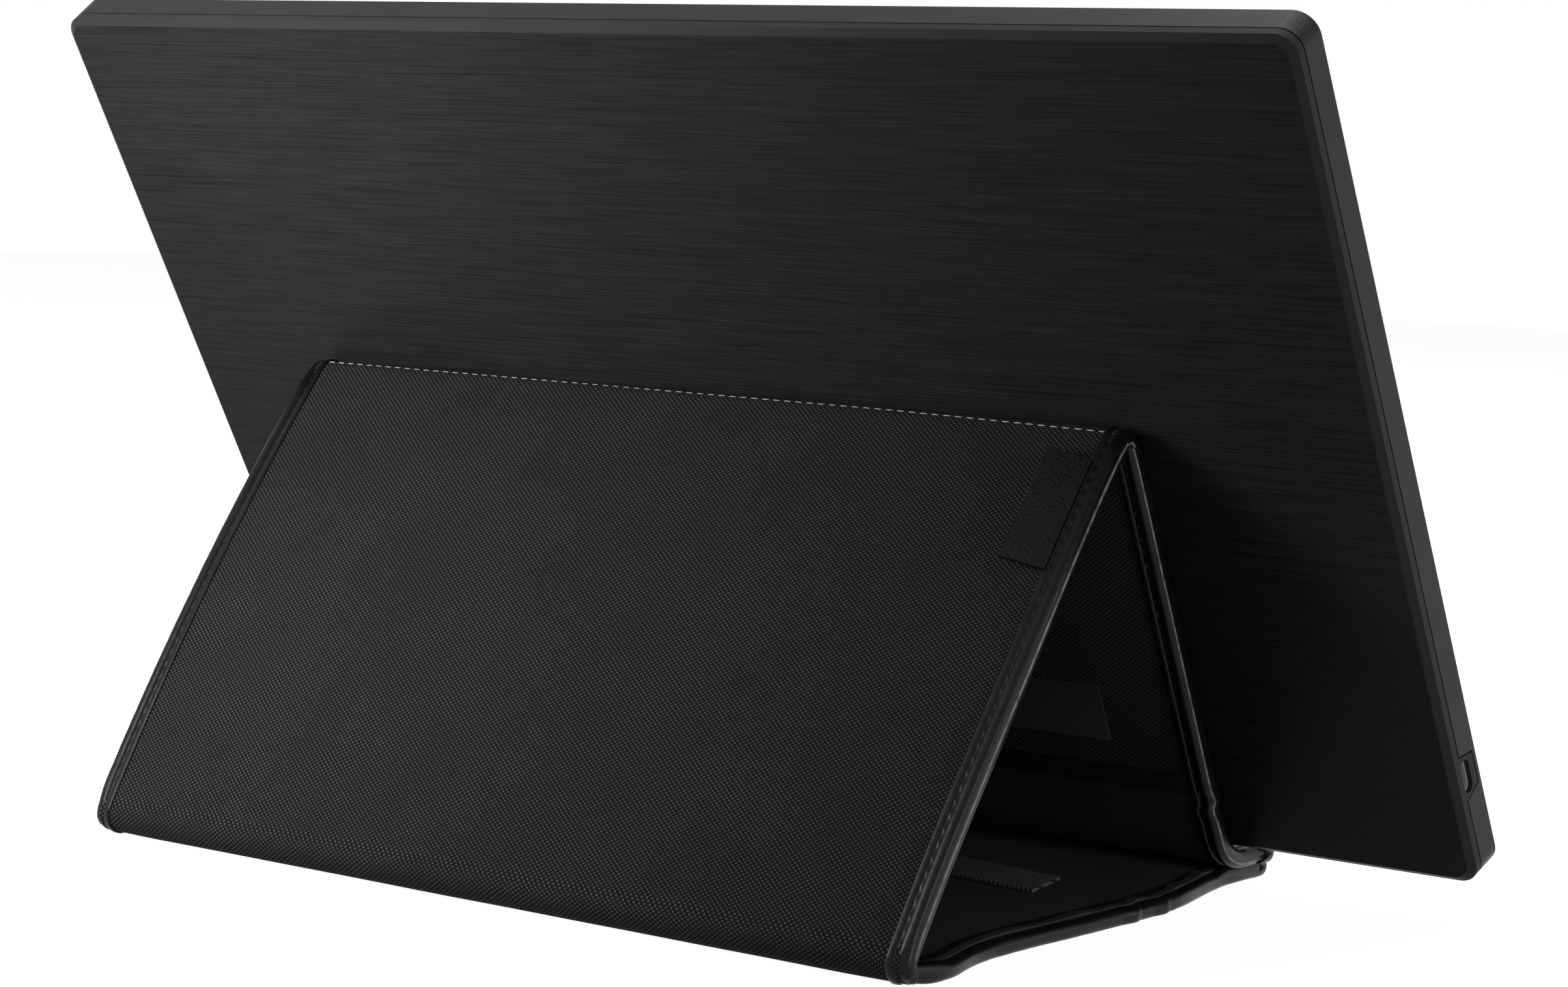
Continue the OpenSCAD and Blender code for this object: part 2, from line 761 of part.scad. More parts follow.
module key_board() {
  color("#1f4a2c") in_monitor() difference() {
    translate([key_board_x[0], key_v - key_board_w / 2, key_board_z])
      cube([key_board_x[1] - key_board_x[0], key_board_w, board_t]);
    for (x = key_posts) translate([x, key_v, 0]) cylinder(r = 1, h = 20, $fn = small);
  }
}

module key_switches() {
  color("#c7c9cb") in_monitor() for (i = [0:3])
    translate([key_x0 - i * key_pitch, key_v, key_board_z + board_t])
      cylinder(r = 2.2, h = switch_t, $fn = small);
}

module light_pipe() {
  color("#e9f0f2") in_monitor() translate([light_x, key_v, key_board_z + board_t])
    cylinder(r = 0.8, h = monitor_t - key_board_z - board_t, $fn = small);
}

module key_cable() {
  color("#e3e3dc") in_monitor()
    translate([light_x + 4 - key_cable_l, key_v + 2, key_board_z - cable_t])
      cube([key_cable_l, key_cable_w, cable_t]);
}

base_outer();
base_board();
base_lining();
base_edging();
foot_crease();
foot_crease_edging();
lip_panel();
lip_edging();
hook_strip();
lip_loop_strip();
pull_tab();
rear_outer();
rear_board();
rear_lining();
rear_edging();
ridge_crease();
ridge_crease_edging();
label_tab();
front_outer();
front_board();
front_lining();
front_edging();
loop_patch();
seam_strip();
rear_cover();
front_bezel();
lcd_cell();
cell_gasket();
light_guide();
backlight_tray();
led_bar();
support_plate();
plate_screws();
main_board();
board_chips();
board_screws();
shield_can();
port_shell();
port_tongue();
panel_cable();
key_board();
key_switches();
key_cable();
power_key();
menu_key();
up_key();
down_key();
light_pipe();
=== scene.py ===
"""Looks of the portable monitor and of the folded sleeve that it leans on."""
import logging
import math
from dataclasses import dataclass, field
from enum import Enum
from typing import Callable, Optional, Sequence, Union

import bmesh
import bpy
from mathutils import Matrix, Vector, noise


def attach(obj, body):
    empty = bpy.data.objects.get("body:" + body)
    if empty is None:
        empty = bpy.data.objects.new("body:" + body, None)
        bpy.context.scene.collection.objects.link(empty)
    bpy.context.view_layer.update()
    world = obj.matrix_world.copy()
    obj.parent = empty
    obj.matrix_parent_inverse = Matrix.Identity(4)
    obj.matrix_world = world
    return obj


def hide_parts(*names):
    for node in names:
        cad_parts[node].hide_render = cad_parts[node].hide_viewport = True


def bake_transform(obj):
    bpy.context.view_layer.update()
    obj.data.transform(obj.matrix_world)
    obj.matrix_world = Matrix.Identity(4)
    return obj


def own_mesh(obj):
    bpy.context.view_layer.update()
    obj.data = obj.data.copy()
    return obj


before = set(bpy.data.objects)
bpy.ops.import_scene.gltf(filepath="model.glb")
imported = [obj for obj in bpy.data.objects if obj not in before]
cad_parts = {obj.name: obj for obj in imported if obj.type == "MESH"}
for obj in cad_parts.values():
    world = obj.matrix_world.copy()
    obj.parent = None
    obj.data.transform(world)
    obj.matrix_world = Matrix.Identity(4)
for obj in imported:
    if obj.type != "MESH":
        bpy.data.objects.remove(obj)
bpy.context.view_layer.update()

LOG = logging.getLogger("sleeve")
MM = 0.001
Point = tuple[float, float]
Colour = tuple[float, float, float, float]
Plug = Union[float, tuple, bpy.types.NodeSocket]
Rise = Callable[[float, "Station"], float]
Outputs = dict[str, bpy.types.NodeSocket]

REST_GAP = 0.3  # air between pieces that only touch, in mm
CLOTH_T = 1.2  # thickness of the woven fabric and of the lining, in mm
BOARD_T = 1.7  # thickness of the stiffening boards, in mm
SEAM_RUN = 99.0  # the front lining's seam, from the ridge crease, in mm
LEATHER_BACK = 2.6  # where the end leather starts behind the base's front edge, in mm
LEATHER_STEP = 0.6  # length of the leather's facets, in mm
ARC_STEP = 0.08  # turn of a facet round a crease, in radians


class Side(Enum):
    """The sleeve's two open ends."""
    NEAR = -1
    FAR = 1


class Panel(Enum):
    """The lengths of the sleeve, from the base's front edge round to the lip."""
    BASE = "base"
    FOOT = "foot"
    REAR = "rear"
    RIDGE = "ridge"
    FRONT = "front"
    LIP = "lip"


class Crease(Enum):
    """The creases at which pieces bend: the way across, as (y, z), and the bodies on its two sides."""
    FOOT = ((0.446, 0.895), ("base", "rear"))
    RIDGE = ((-0.996, -0.086), ("rear", "front"))


# --------------------------------------------------------------------------
# Stance of the folded sleeve
# --------------------------------------------------------------------------


@dataclass(frozen=True)
class Station:
    """A place along a panel, in millimetres: the section stands across it."""
    y: float
    z: float
    turn: float
    run: float
    panel: Panel
    share: float

    def at(self, x: float, depth: float) -> Vector:
        """Returns the point at x across the sleeve and depth outwards, in metres."""
        return Vector((x, self.y + depth * math.cos(self.turn),
                       self.z + depth * math.sin(self.turn))) * MM


@dataclass
class Stance:
    """Angles and creases of the standing sleeve, from the part's own sizes in mm."""
    lean: float = 30.0
    gape: float = 2.8
    ridge_up: float = 127.9
    rear_len: float = 139.5
    front_len: float = 106.0
    rear_bow: float = 3.0
    width: float = 266.0
    shift: float = 7.0
    panel_t: float = 4.1
    edging_t: float = 0.5
    edging_w: float = 6.0
    nose: float = 2.4
    lip_t: float = 4.9
    lip_r: float = 14.0
    lip_flat: float = 12.6
    lip_back: float = 4.2
    flare: float = 0.9
    rim: float = 1.5
    crease_r: float = 5.0
    taper: Point = (2.0, 8.0)
    wander: tuple[Point, ...] = (
        (-90, 3.6), (-75, 3.9), (-65, 4.4), (-52, 2.3), (-43, 0.3), (-30, -1.2), (-14, -0.8), (9, 0.6),
        (23, 2.0), (37, 3.0), (50, 3.2), (60, 1.2), (71, -1.8), (80, 0.6), (90, 1.6))
    overlaps: Point = (-15.0, -29.0)
    overlap_in: float = 0.7
    waist: float = 1.1
    kink: float = 0.6
    inner: float = field(init=False)
    mid: float = field(init=False)
    outer: float = field(init=False)
    fold_r: float = field(init=False)
    front_rise: float = field(init=False)
    rear_rise: float = field(init=False)
    base_len: float = field(init=False)
    lip_mid_z: float = field(init=False)
    lip_run: float = field(init=False)
    bow_r: float = field(init=False)
    bow_half: float = field(init=False)
    foot: Point = field(init=False)
    ridge: Point = field(init=False)

    def __post_init__(self) -> None:
        """Works out where the creases stand and how the panels lean."""
        lean = math.radians(self.lean)
        self.inner = REST_GAP + self.edging_t
        self.fold_r = self.inner + self.panel_t + self.edging_t
        self.mid = self.inner + self.panel_t / 2
        self.outer = self.inner + self.panel_t
        base_edged = self.fold_r + self.edging_t - self.inner
        self.lip_mid_z = base_edged + self.lip_t / 2
        rim_z = base_edged + self.lip_t + REST_GAP - self.flare * math.cos(lean) - self.rim * math.sin(lean)
        off = self.fold_r + REST_GAP
        self.front_rise = math.radians(90 - self.lean + self.gape)
        ridge_z = rim_z + self.ridge_up * math.cos(lean) - off * math.sin(lean)
        self.rear_rise = math.asin((ridge_z - self.fold_r) / self.rear_len)
        sin_f, cos_f = math.sin(self.front_rise), math.cos(self.front_rise)
        fold_z = ridge_z - self.front_len * sin_f
        self.lip_run = (fold_z + self.mid * cos_f - self.lip_mid_z - self.lip_r * (1 - cos_f)) / sin_f
        reach = self.mid * sin_f + self.lip_run * cos_f + self.lip_r * sin_f + self.lip_flat
        self.base_len = (self.rear_len * math.cos(self.rear_rise) + self.front_len * cos_f
                         + reach + self.lip_back)
        self.foot = ((self.base_len - self.fold_r) / 2, self.fold_r)
        self.ridge = (self.foot[0] - self.rear_len * math.cos(self.rear_rise), ridge_z)
        self.bow_r = (self.rear_len ** 2 / 4 + self.rear_bow ** 2) / (2 * self.rear_bow)
        self.bow_half = math.asin(self.rear_len / 2 / self.bow_r)

    @property
    def ends(self) -> Point:
        """Returns the two ends of the sleeve across X."""
        return self.shift - self.width / 2, self.shift + self.width / 2

    def base(self, start: float, stop: float, step: float = 3.0) -> list[Station]:
        """Returns stations on the base panel, from one distance to the foot crease to another."""
        return [Station(self.foot[0] - s, self.foot[1], -math.pi / 2, -s, Panel.BASE, s / self.base_len)
                for s in spread(start, stop, step)]

    def foot_arc(self, step: float) -> list[Station]:
        """Returns stations round the foot crease, a step in radians apart."""
        low, high = -math.pi / 2, math.pi / 2 - self.rear_rise - self.bow_half
        return [Station(*self.foot, a, (a - low) * self.crease_r, Panel.FOOT, (a - low) / (high - low))
                for a in spread(low, high, step)]

    def rear(self, start: float, stop: float, step: float = 3.0) -> list[Station]:
        """Follows the bowed rear panel.

        Args:
            start: Distance of the first station from the foot crease in mm.
            stop: Distance of the last one.
            step: About how far apart they stand.

        Returns:
            The stations.
        """
        turn = math.pi / 2 - self.rear_rise
        up, out = (-math.sin(turn), math.cos(turn)), (math.cos(turn), math.sin(turn))
        half, drop = self.rear_len / 2, self.rear_bow - self.bow_r
        cy = self.foot[0] + up[0] * half + out[0] * drop
        cz = self.foot[1] + up[1] * half + out[1] * drop
        found = []
        for s in spread(start, stop, step):
            a = turn - self.bow_half + 2 * self.bow_half * s / self.rear_len
            found.append(Station(cy + self.bow_r * math.cos(a), cz + self.bow_r * math.sin(a), a, 10 + s,
                                 Panel.REAR, s / self.rear_len))
        return found

    def ridge_arc(self, step: float) -> list[Station]:
        """Follows the ridge crease.

        Args:
            step: Turn from one station to the next in radians.

        Returns:
            The stations.
        """
        low = math.pi / 2 - self.rear_rise + self.bow_half
        high = math.pi / 2 + self.front_rise
        return [Station(*self.ridge, a, 10 + self.rear_len + (a - low) * self.crease_r, Panel.RIDGE,
                        (a - low) / (high - low)) for a in spread(low, high, step)]

    def front(self, start: float, stop: float, step: float) -> list[Station]:
        """Returns stations on the front panel, by distance from the ridge crease."""
        turn = math.pi / 2 + self.front_rise
        return [Station(self.ridge[0] - s * math.cos(self.front_rise),
                        self.ridge[1] - s * math.sin(self.front_rise), turn, 20 + self.rear_len + s,
                        Panel.FRONT, s / self.front_len) for s in spread(start, stop, step)]

    def lip(self, cut: float = 0.0) -> list[Station]:
        """Follows the middle of the lip down its run, round its fold and along its flat end.

        Args:
            cut: Length that is left out at the flat end, in mm.

        Returns:
            The stations.
        """
        turn, step = math.pi / 2 + self.front_rise, 0.9
        start = self.front(self.front_len + 0.2, self.front_len + self.lip_run, step)
        found = [Station(s.y + self.mid * math.cos(turn), s.z + self.mid * math.sin(turn), turn, s.run,
                         Panel.LIP, 0.0) for s in start]
        last = found[-1]
        cy = last.y + self.lip_r * math.cos(turn)
        cz = last.z + self.lip_r * math.sin(turn)
        for a in spread(turn, math.pi / 2, 0.06)[1:]:
            found.append(Station(cy - self.lip_r * math.cos(a), cz - self.lip_r * math.sin(a), a,
                                 last.run + (turn - a) * self.lip_r, Panel.LIP,
                                 (turn - a) / (turn - math.pi / 2)))
        bend = found[-1]
        found += [Station(bend.y - s, bend.z, bend.turn, bend.run + s, Panel.LIP, 1.0)
                  for s in spread(0, self.lip_flat - cut, step)[1:]]
        return found

    def edge(self, side: Side, station: Station) -> float:
        """Finds the sleeve's end at a station, as the soft binding really runs there.

        Args:
            side: Which end.
            station: The place along the panels.

        Returns:
            The end's place on X in mm.
        """
        if side is Side.NEAR:
            off = 0.0
            if station.panel is Panel.BASE:
                off = eased(self.wander, station.y)
                off -= sum(self.overlap_in * max(0.0, 1 - abs(station.y - y - 2) / 5)
                           for y in self.overlaps if station.y > y)
            elif station.panel is Panel.REAR:
                off = -self.waist * math.sin(math.pi * min(1.0, max(0.0, station.share))) ** 2
            elif station.panel in (Panel.FRONT, Panel.LIP):
                past = station.run - (20 + self.rear_len + self.front_len)
                off = self.kink * math.exp(-((past - 1.5) / 2.2) ** 2)
                off -= self.kink * math.exp(-((past + 2.5) / 1.8) ** 2)
            return self.ends[0] + off
        ridge, foot = self.taper
        drawn = {Panel.BASE: foot * (1 - station.share), Panel.FOOT: foot, Panel.RIDGE: ridge,
                 Panel.REAR: foot + (ridge - foot) * station.share, Panel.FRONT: ridge * (1 - station.share)}
        return self.ends[1] - drawn.get(station.panel, 0.0)


def spread(start: float, stop: float, step: float) -> list[float]:
    """Returns evenly spaced values from start to stop, about step apart."""
    count = max(1, round(abs(stop - start) / step))
    return [start + (stop - start) * i / count for i in range(count + 1)]


def eased(table: Sequence[Point], at: float, width: float = 7.0) -> float:
    """Reads a table between its places, smoothed over a width.

    Args:
        table: Pairs of place and value, in order.
        at: The place.
        width: Half the width that is smoothed over.

    Returns:
        The value.
    """
    total, half = 0.0, 4
    for i in range(-half, half + 1):
        place = min(max(at + width * i / half, table[0][0]), table[-1][0])
        for (x0, y0), (x1, y1) in zip(table, table[1:]):
            if x0 <= place <= x1:
                total += (y0 + (y1 - y0) * (place - x0) / (x1 - x0)) / (2 * half + 1)
                break
    return total


def joined(*runs: Sequence[Station]) -> list[Station]:
    """Joins runs of stations and drops the second of two that stand at one place.

    Args:
        runs: The runs, in order.

    Returns:
        All the stations.
    """
    found: list[Station] = []
    for run in runs:
        for s in run:
            if not found or math.hypot(s.y - found[-1].y, s.z - found[-1].z) \
                    + 5 * abs(s.turn - found[-1].turn) > 1e-4:
                found.append(s)
    return found


# --------------------------------------------------------------------------
# Mesh work
# --------------------------------------------------------------------------


def flat(x: float, st: Station) -> float:
    """Returns no rise, for a face of cloth that lies flat."""
    return 0.0


def wave(x: float, y: float, size: float, seed: float) -> float:
    """Returns a soft bump from -1 to 1 that changes over about size."""
    return noise.noise(Vector((x / size, y / size, seed)))


def finished(bm: bmesh.types.BMesh, name: str, sharp: float = 40.0) -> bpy.types.Object:
    """Turns a bmesh into an object at the origin with smooth faces.

    Args:
        bm: The mesh, in metres. It is freed.
        name: The piece's name.
        sharp: Angle in degrees past which an edge stays sharp.

    Returns:
        The linked object.
    """
    bmesh.ops.recalc_face_normals(bm, faces=bm.faces)
    mesh = bpy.data.meshes.new(name)
    bm.to_mesh(mesh)
    bm.free()
    mesh.polygons.foreach_set("use_smooth", [True] * len(mesh.polygons))
    mesh.set_sharp_from_angle(angle=math.radians(sharp))
    obj = bpy.data.objects.new(name, mesh)
    bpy.context.scene.collection.objects.link(obj)
    return obj


def tube(name: str, rings: Sequence[Sequence[Vector]], runs: Sequence[float],
         second: Optional[range] = None, highlighted: Sequence[int] = ()) -> bpy.types.Object:
    """Extrudes a closed ring of points from place to place and closes both ends.

    Args:
        name: The piece's name.
        rings: The ring's points at each place, in metres, always in one order.
        runs: Distance of each place along the piece in mm.
        second: Points of the ring whose faces take the piece's second material.
        highlighted: Point of the ring that carries the painted highlight line at each place, which a point
            attribute marks.

    Returns:
        The piece, with a UV map "cloth" in metres across X and along it.
    """
    bm = bmesh.new()
    # Marks the points of the painted highlight line, which the leather lightens.
    painted_highlight = bm.verts.layers.float.new("painted_highlight")
    spot = bm.verts.layers.int.new("spot")
    run = bm.verts.layers.float.new("run")
    count = len(rings[0])
    marks = highlighted or [-1] * len(rings)
    ring = [bm.verts.new(p) for p in rings[0]]
    for i, vert in enumerate(ring):
        vert[spot], vert[run], vert[painted_highlight] = i, runs[0], float(i == marks[0])
    edges = [bm.edges.new((vert, ring[(i + 1) % count])) for i, vert in enumerate(ring)]
    for points, place, mark in zip(rings[1:], runs[1:], marks[1:]):
        grown = bmesh.ops.extrude_edge_only(bm, edges=edges)["geom"]
        fresh = {g for g in grown if isinstance(g, bmesh.types.BMVert)}
        for vert in fresh:
            vert.co, vert[run], vert[painted_highlight] = points[vert[spot]], place, float(vert[spot] == mark)
        edges = [g for g in grown if isinstance(g, bmesh.types.BMEdge)
                 and g.verts[0] in fresh and g.verts[1] in fresh]
    layer = bm.loops.layers.uv.new("cloth")
    for face in bm.faces:
        spots = {loop.vert[spot] for loop in face.loops}
        if second and min(spots) in second and not {0, count - 1} <= spots:
            face.material_index = 1
        for loop in face.loops:
            loop[layer].uv = loop.vert.co.x, loop.vert[run] * MM
    bmesh.ops.holes_fill(bm, edges=[e for e in bm.edges if e.is_boundary], sides=0)
    return finished(bm, name)


def sweep(name: str, stations: Sequence[Station], section: Callable[[Station], Sequence[Point]],
          second: Optional[range] = None, highlighted: Sequence[int] = ()) -> bpy.types.Object:
    """Extrudes a section along a panel.

    Args:
        name: The piece's name.
        stations: Where the section stands.
        section: Gives the section's (x, depth) points in mm for a station.
        second: Points of the section whose faces take the piece's second material.
        highlighted: Point of the section that carries the painted highlight line at each station.

    Returns:
        The piece.
    """
    rings = [[st.at(*p) for p in section(st)] for st in stations]
    return tube(name, rings, [st.run for st in stations], second, highlighted)


def slab(name: str, corners: Sequence[tuple[float, float, float]], rise: Vector,
         soft: float) -> bpy.types.Object:
    """Raises a flat outline into a soft-edged plate.

    Args:
        name: The piece's name.
        corners: The outline in mm, in order.
        rise: The thickness as a vector in mm.
        soft: Width of the rounded edges in mm.

    Returns:
        The piece, with a UV map "cloth" in metres.
    """
    bm = bmesh.new()
    face = bm.faces.new([bm.verts.new(Vector(c) * MM) for c in corners])
    top = bmesh.ops.extrude_face_region(bm, geom=[face])["geom"]
    bmesh.ops.translate(bm, vec=rise * MM, verts=[g for g in top if isinstance(g, bmesh.types.BMVert)])
    bmesh.ops.recalc_face_normals(bm, faces=bm.faces)
    bmesh.ops.bevel(bm, geom=list(bm.edges), offset=soft * MM, segments=2, profile=0.5,
                    affect="EDGES", material=-1, clamp_overlap=True)
    start = Vector(corners[0]) * MM
    across = (Vector(corners[1]) * MM - start).normalized()
    along = rise.normalized().cross(across)
    layer = bm.loops.layers.uv.new("cloth")
    for face in bm.faces:
        for loop in face.loops:
            off = loop.vert.co - start
            loop[layer].uv = off.dot(across), off.dot(along)
    return finished(bm, name, 60)


def stitches(name: str, places: Sequence[tuple[Vector, Vector, Vector]], length: float,
             thick: float) -> bpy.types.Object:
    """Lays a row of thread stitches, each a short pillow that dips into the cloth at its ends.

    Args:
        name: The piece's name.
        places: Middle, direction and outward normal of each stitch, in metres.
        length: Length of a stitch in mm.
        thick: Thickness of the thread in mm.

    Returns:
        The piece with every stitch.
    """
    bm = bmesh.new()
    for middle, along, out in places:
        made = bmesh.ops.create_uvsphere(bm, u_segments=6, v_segments=5, radius=0.5)["verts"]
        side = along.cross(out).normalized()
        turn = Matrix((side, out.normalized(), along.normalized())).transposed()
        bmesh.ops.scale(bm, vec=(thick * MM, thick * MM * 0.8, length * MM), verts=made)
        bmesh.ops.rotate(bm, cent=(0, 0, 0), matrix=turn, verts=made)
        bmesh.ops.translate(bm, vec=middle, verts=made)
    return finished(bm, name, 80)


# --------------------------------------------------------------------------
# Node work
# --------------------------------------------------------------------------


class Recipe:
    """Short hand for the nodes of one material or group."""

    def __init__(self, tree: bpy.types.NodeTree) -> None:
        """Keeps the tree that gets the nodes."""
        self.tree = tree

    def add(self, kind: str, plugs: Optional[dict[Union[str, int], Plug]] = None,
            **settings: Union[str, float, bool]) -> bpy.types.Node:
        """Adds a node.

        Args:
            kind: The node's type without its ShaderNode prefix.
            plugs: Values or sockets for its inputs.
            settings: The node's own properties.

        Returns:
            The node.
        """
        node = self.tree.nodes.new(kind if kind.startswith("Node") else "ShaderNode" + kind)
        for key, value in settings.items():
            setattr(node, key, value)
        for key, value in (plugs or {}).items():
            if isinstance(value, bpy.types.NodeSocket):
                self.tree.links.new(value, node.inputs[key])
            else:
                node.inputs[key].default_value = value
        return node

    def math(self, operation: str, a: Plug, b: Plug = 0.0) -> bpy.types.NodeSocket:
        """Returns the result of a Math node."""
        return self.add("Math", {0: a, 1: b}, operation=operation).outputs[0]

    def ramp(self, value: Plug, low: float, high: float, bottom: float = 0.0,
             top: float = 1.0) -> bpy.types.NodeSocket:
        """Eases a value from one range into another.

        Args:
            value: The value.
            low: Where the first range starts.
            high: Where it ends.
            bottom: Where the second range starts.
            top: Where it ends.

        Returns:
            The eased value.
        """
        ends = {"From Min": low, "From Max": high, "To Min": bottom, "To Max": top}
        node = self.add("MapRange", {"Value": value, **ends}, interpolation_type="SMOOTHSTEP")
        return node.outputs["Result"]

    def mix(self, factor: Plug, a: Plug, b: Plug) -> bpy.types.NodeSocket:
        """Returns colour a turned into colour b by the factor."""
        return self.add("Mix", {0: factor, 6: a, 7: b}, data_type="RGBA").outputs[2]

    def noise(self, vector: Plug, scale: float, detail: float = 2.0,
              rough: float = 0.5) -> bpy.types.NodeSocket:
        """Returns a noise from 0 to 1 with scale bumps per metre."""
        return self.add("TexNoise", {"Vector": vector, "Scale": scale, "Detail": detail,
                                     "Roughness": rough}).outputs["Fac"]


def group(name: str, inputs: dict[str, Optional[float]], outputs: Sequence[str],
          fill: Callable[[Recipe, bpy.types.Node], Outputs]) -> bpy.types.NodeTree:
    """Builds a node group once.

    Args:
        name: The group's name.
        inputs: Input names with their values, None for a vector.
        outputs: Names of the values that it puts out.
        fill: Adds the nodes and returns a socket for each output.

    Returns:
        The group.
    """
    tree = bpy.data.node_groups.new(name, "ShaderNodeTree")
    for key, value in inputs.items():
        kind = "NodeSocketVector" if value is None else "NodeSocketFloat"
        made = tree.interface.new_socket(key, in_out="INPUT", socket_type=kind)
        if value is not None:
            made.default_value = value
    for key in outputs:
        tree.interface.new_socket(key, in_out="OUTPUT", socket_type="NodeSocketFloat")
    recipe = Recipe(tree)
    found = fill(recipe, recipe.add("NodeGroupInput"))
    out = recipe.add("NodeGroupOutput")
    for key, socket in found.items():
        tree.links.new(socket, out.inputs[key])
    return tree


def fill_weave(r: Recipe, given: bpy.types.Node) -> Outputs:
    """Fills a plain weave: lengthwise yarns stand out in every other cell.

    Args:
        r: The group's nodes.
        given: The group's inputs.

    Returns:
        The outputs by name.
    """
    vector = given.outputs["Vector"]
    drift = r.math("MULTIPLY", r.math("SUBTRACT", r.noise(vector, 45), 0.5), 0.0012)
    parts = r.add("SeparateXYZ", {0: vector})
    cells = []
    for axis, key in ((0, "Across"), (1, "Along")):
        moved = r.math("ADD", parts.outputs[axis], drift)
        cells.append(r.math("DIVIDE", moved, given.outputs[key]))
    waves = [r.math("SINE", r.math("MULTIPLY", c, math.pi)) for c in cells]
    product = r.math("MULTIPLY", waves[0], waves[1])
    whole = r.add("CombineXYZ", {0: r.math("FLOOR", cells[0]), 1: r.math("FLOOR", cells[1])})
    cast = r.add("TexWhiteNoise", {"Vector": whole.outputs[0]}, noise_dimensions="2D").outputs["Value"]
    yarn = r.ramp(product, 0.1, 0.85)
    yarn = r.math("MULTIPLY", yarn, r.ramp(cast, 0.0, 1.0, 0.78, 1.0))
    height = r.math("ADD", r.ramp(product, -0.2, 0.9), r.math("MULTIPLY", r.ramp(product, -0.3, -0.9), 0.45))
    return {"Yarn": yarn, "Height": height}


def fill_grain(r: Recipe, given: bpy.types.Node) -> Outputs:
    """Fills a leather grain: fine cells with a soft, larger unevenness.

    Args:
        r: The group's nodes.
        given: The group's inputs.

    Returns:
        The outputs by name.
    """
    vector, scale = given.outputs["Vector"], given.outputs["Scale"]
    cells = r.add("TexVoronoi", {"Vector": vector, "Scale": scale}, feature="SMOOTH_F1").outputs["Distance"]
    soft = r.noise(vector, 90, 3)
    height = r.math("ADD", r.math("MULTIPLY", cells, 0.6), r.math("MULTIPLY", soft, 0.5))
    return {"Height": height, "Tone": soft}


def fill_brushed(r: Recipe, given: bpy.types.Node) -> Outputs:
    """Fills fine lines along X of uneven length, with a few deeper ones.

    Args:
        r: The group's nodes.
        given: The group's inputs.

    Returns:
        The outputs by name.
    """
    vector = given.outputs["Vector"]
    fine = r.noise(r.add("Mapping", {0: vector, 3: (9, 900, 1)}).outputs[0], 4.0, 4, 0.6)
    long = r.noise(r.add("Mapping", {0: vector, 1: (0.3, 0.1, 0), 3: (5, 950, 1)}).outputs[0], 3.0, 3, 0.55)
    deep = r.ramp(long, 0.62, 0.72)
    streak = r.math("SUBTRACT", fine, r.math("MULTIPLY", deep, 0.6))
    return {"Streak": streak}


def fill_tone(r: Recipe, given: bpy.types.Node) -> Outputs:
    """Returns slow changes of tone."""
    return {"Tone": r.noise(given.outputs["Vector"], given.outputs["Scale"], 3)}


# --------------------------------------------------------------------------
# Finishes
# --------------------------------------------------------------------------


class Groups:
    """The node groups that the finishes share, each built once."""

    def __init__(self) -> None:
        """Builds the groups."""
        self.weave = group("weave", {"Vector": None, "Across": 0.0008, "Along": 0.0006},
                           ("Yarn", "Height"), fill_weave)
        self.grain = group("grain", {"Vector": None, "Scale": 1400.0}, ("Height", "Tone"), fill_grain)
        self.brushed = group("brushed", {"Vector": None}, ("Streak",), fill_brushed)
        self.tone = group("tone", {"Vector": None, "Scale": 30.0}, ("Tone",), fill_tone)


def grey(level: float, warm: float = 0.0) -> Colour:
    """Returns a linear colour for a grey of 0 to 255 on screen, a little warm."""
    value = [((level + d) / 255) ** 2.2 for d in (warm, 0, -warm)]
    return value[0], value[1], value[2], 1.0


class Finish:
    """A material under way: its nodes, its shader and its coordinates."""

    def __init__(self, name: str, groups: Groups, rough: float, metal: float = 0.0,
                 cloth: bool = False, turn: float = 0.0, **shader: float) -> None:
        """Starts a material.

        Args:
            name: The finish's name.
            groups: The shared node groups.
            rough: Roughness of the shader.
            metal: Metallic share of the shader.
            cloth: Reads the piece's own UV map instead of Object coordinates.
            turn: Turns Object coordinates about X, in degrees.
            shader: More constants for the shader's sockets, with _ for a space.
        """
        self.groups = groups
        self.material = bpy.data.materials.new(name)
        self.material.use_nodes = True
        tree = self.material.node_tree
        self.recipe = Recipe(tree)
        self.shader = next(n for n in tree.nodes if n.type == "BSDF_PRINCIPLED")
        self.shader.inputs["Roughness"].default_value = rough
        self.shader.inputs["Metallic"].default_value = metal
        for key, value in shader.items():
            self.shader.inputs[key.replace("_", " ")].default_value = value
        if cloth:
            self.place = self.recipe.add("UVMap", uv_map="cloth").outputs[0]
        else:
            self.place = self.recipe.add("TexCoord").outputs["Object"]
        if turn:
            turned = {0: self.place, 2: (math.radians(turn), 0, 0)}
            self.place = self.recipe.add("Mapping", turned).outputs[0]

    def use(self, tree: bpy.types.NodeTree, **plugs: float) -> bpy.types.Node:
        """Places a shared group on this finish's coordinates.

        Args:
            tree: The group.
            plugs: Values for its inputs.

        Returns:
            The group's node.
        """
        node = self.recipe.add("Group")
        node.node_tree = tree
        self.recipe.tree.links.new(self.place, node.inputs["Vector"])
        for key, value in plugs.items():
            node.inputs[key].default_value = value
        return node

    def colour(self, socket: bpy.types.NodeSocket) -> None:
        """Feeds the shader's colour."""
        self.recipe.tree.links.new(socket, self.shader.inputs["Base Color"])

    def rough(self, socket: bpy.types.NodeSocket) -> None:
        """Feeds the shader's roughness."""
        self.recipe.tree.links.new(socket, self.shader.inputs["Roughness"])

    def bump(self, height: bpy.types.NodeSocket, depth: float, strength: float = 1.0) -> None:
        """Feeds the shader's normal with a relief of depth in mm."""
        node = self.recipe.add("Bump", {"Height": height, "Distance": depth * MM, "Strength": strength})
        self.recipe.tree.links.new(node.outputs[0], self.shader.inputs["Normal"])


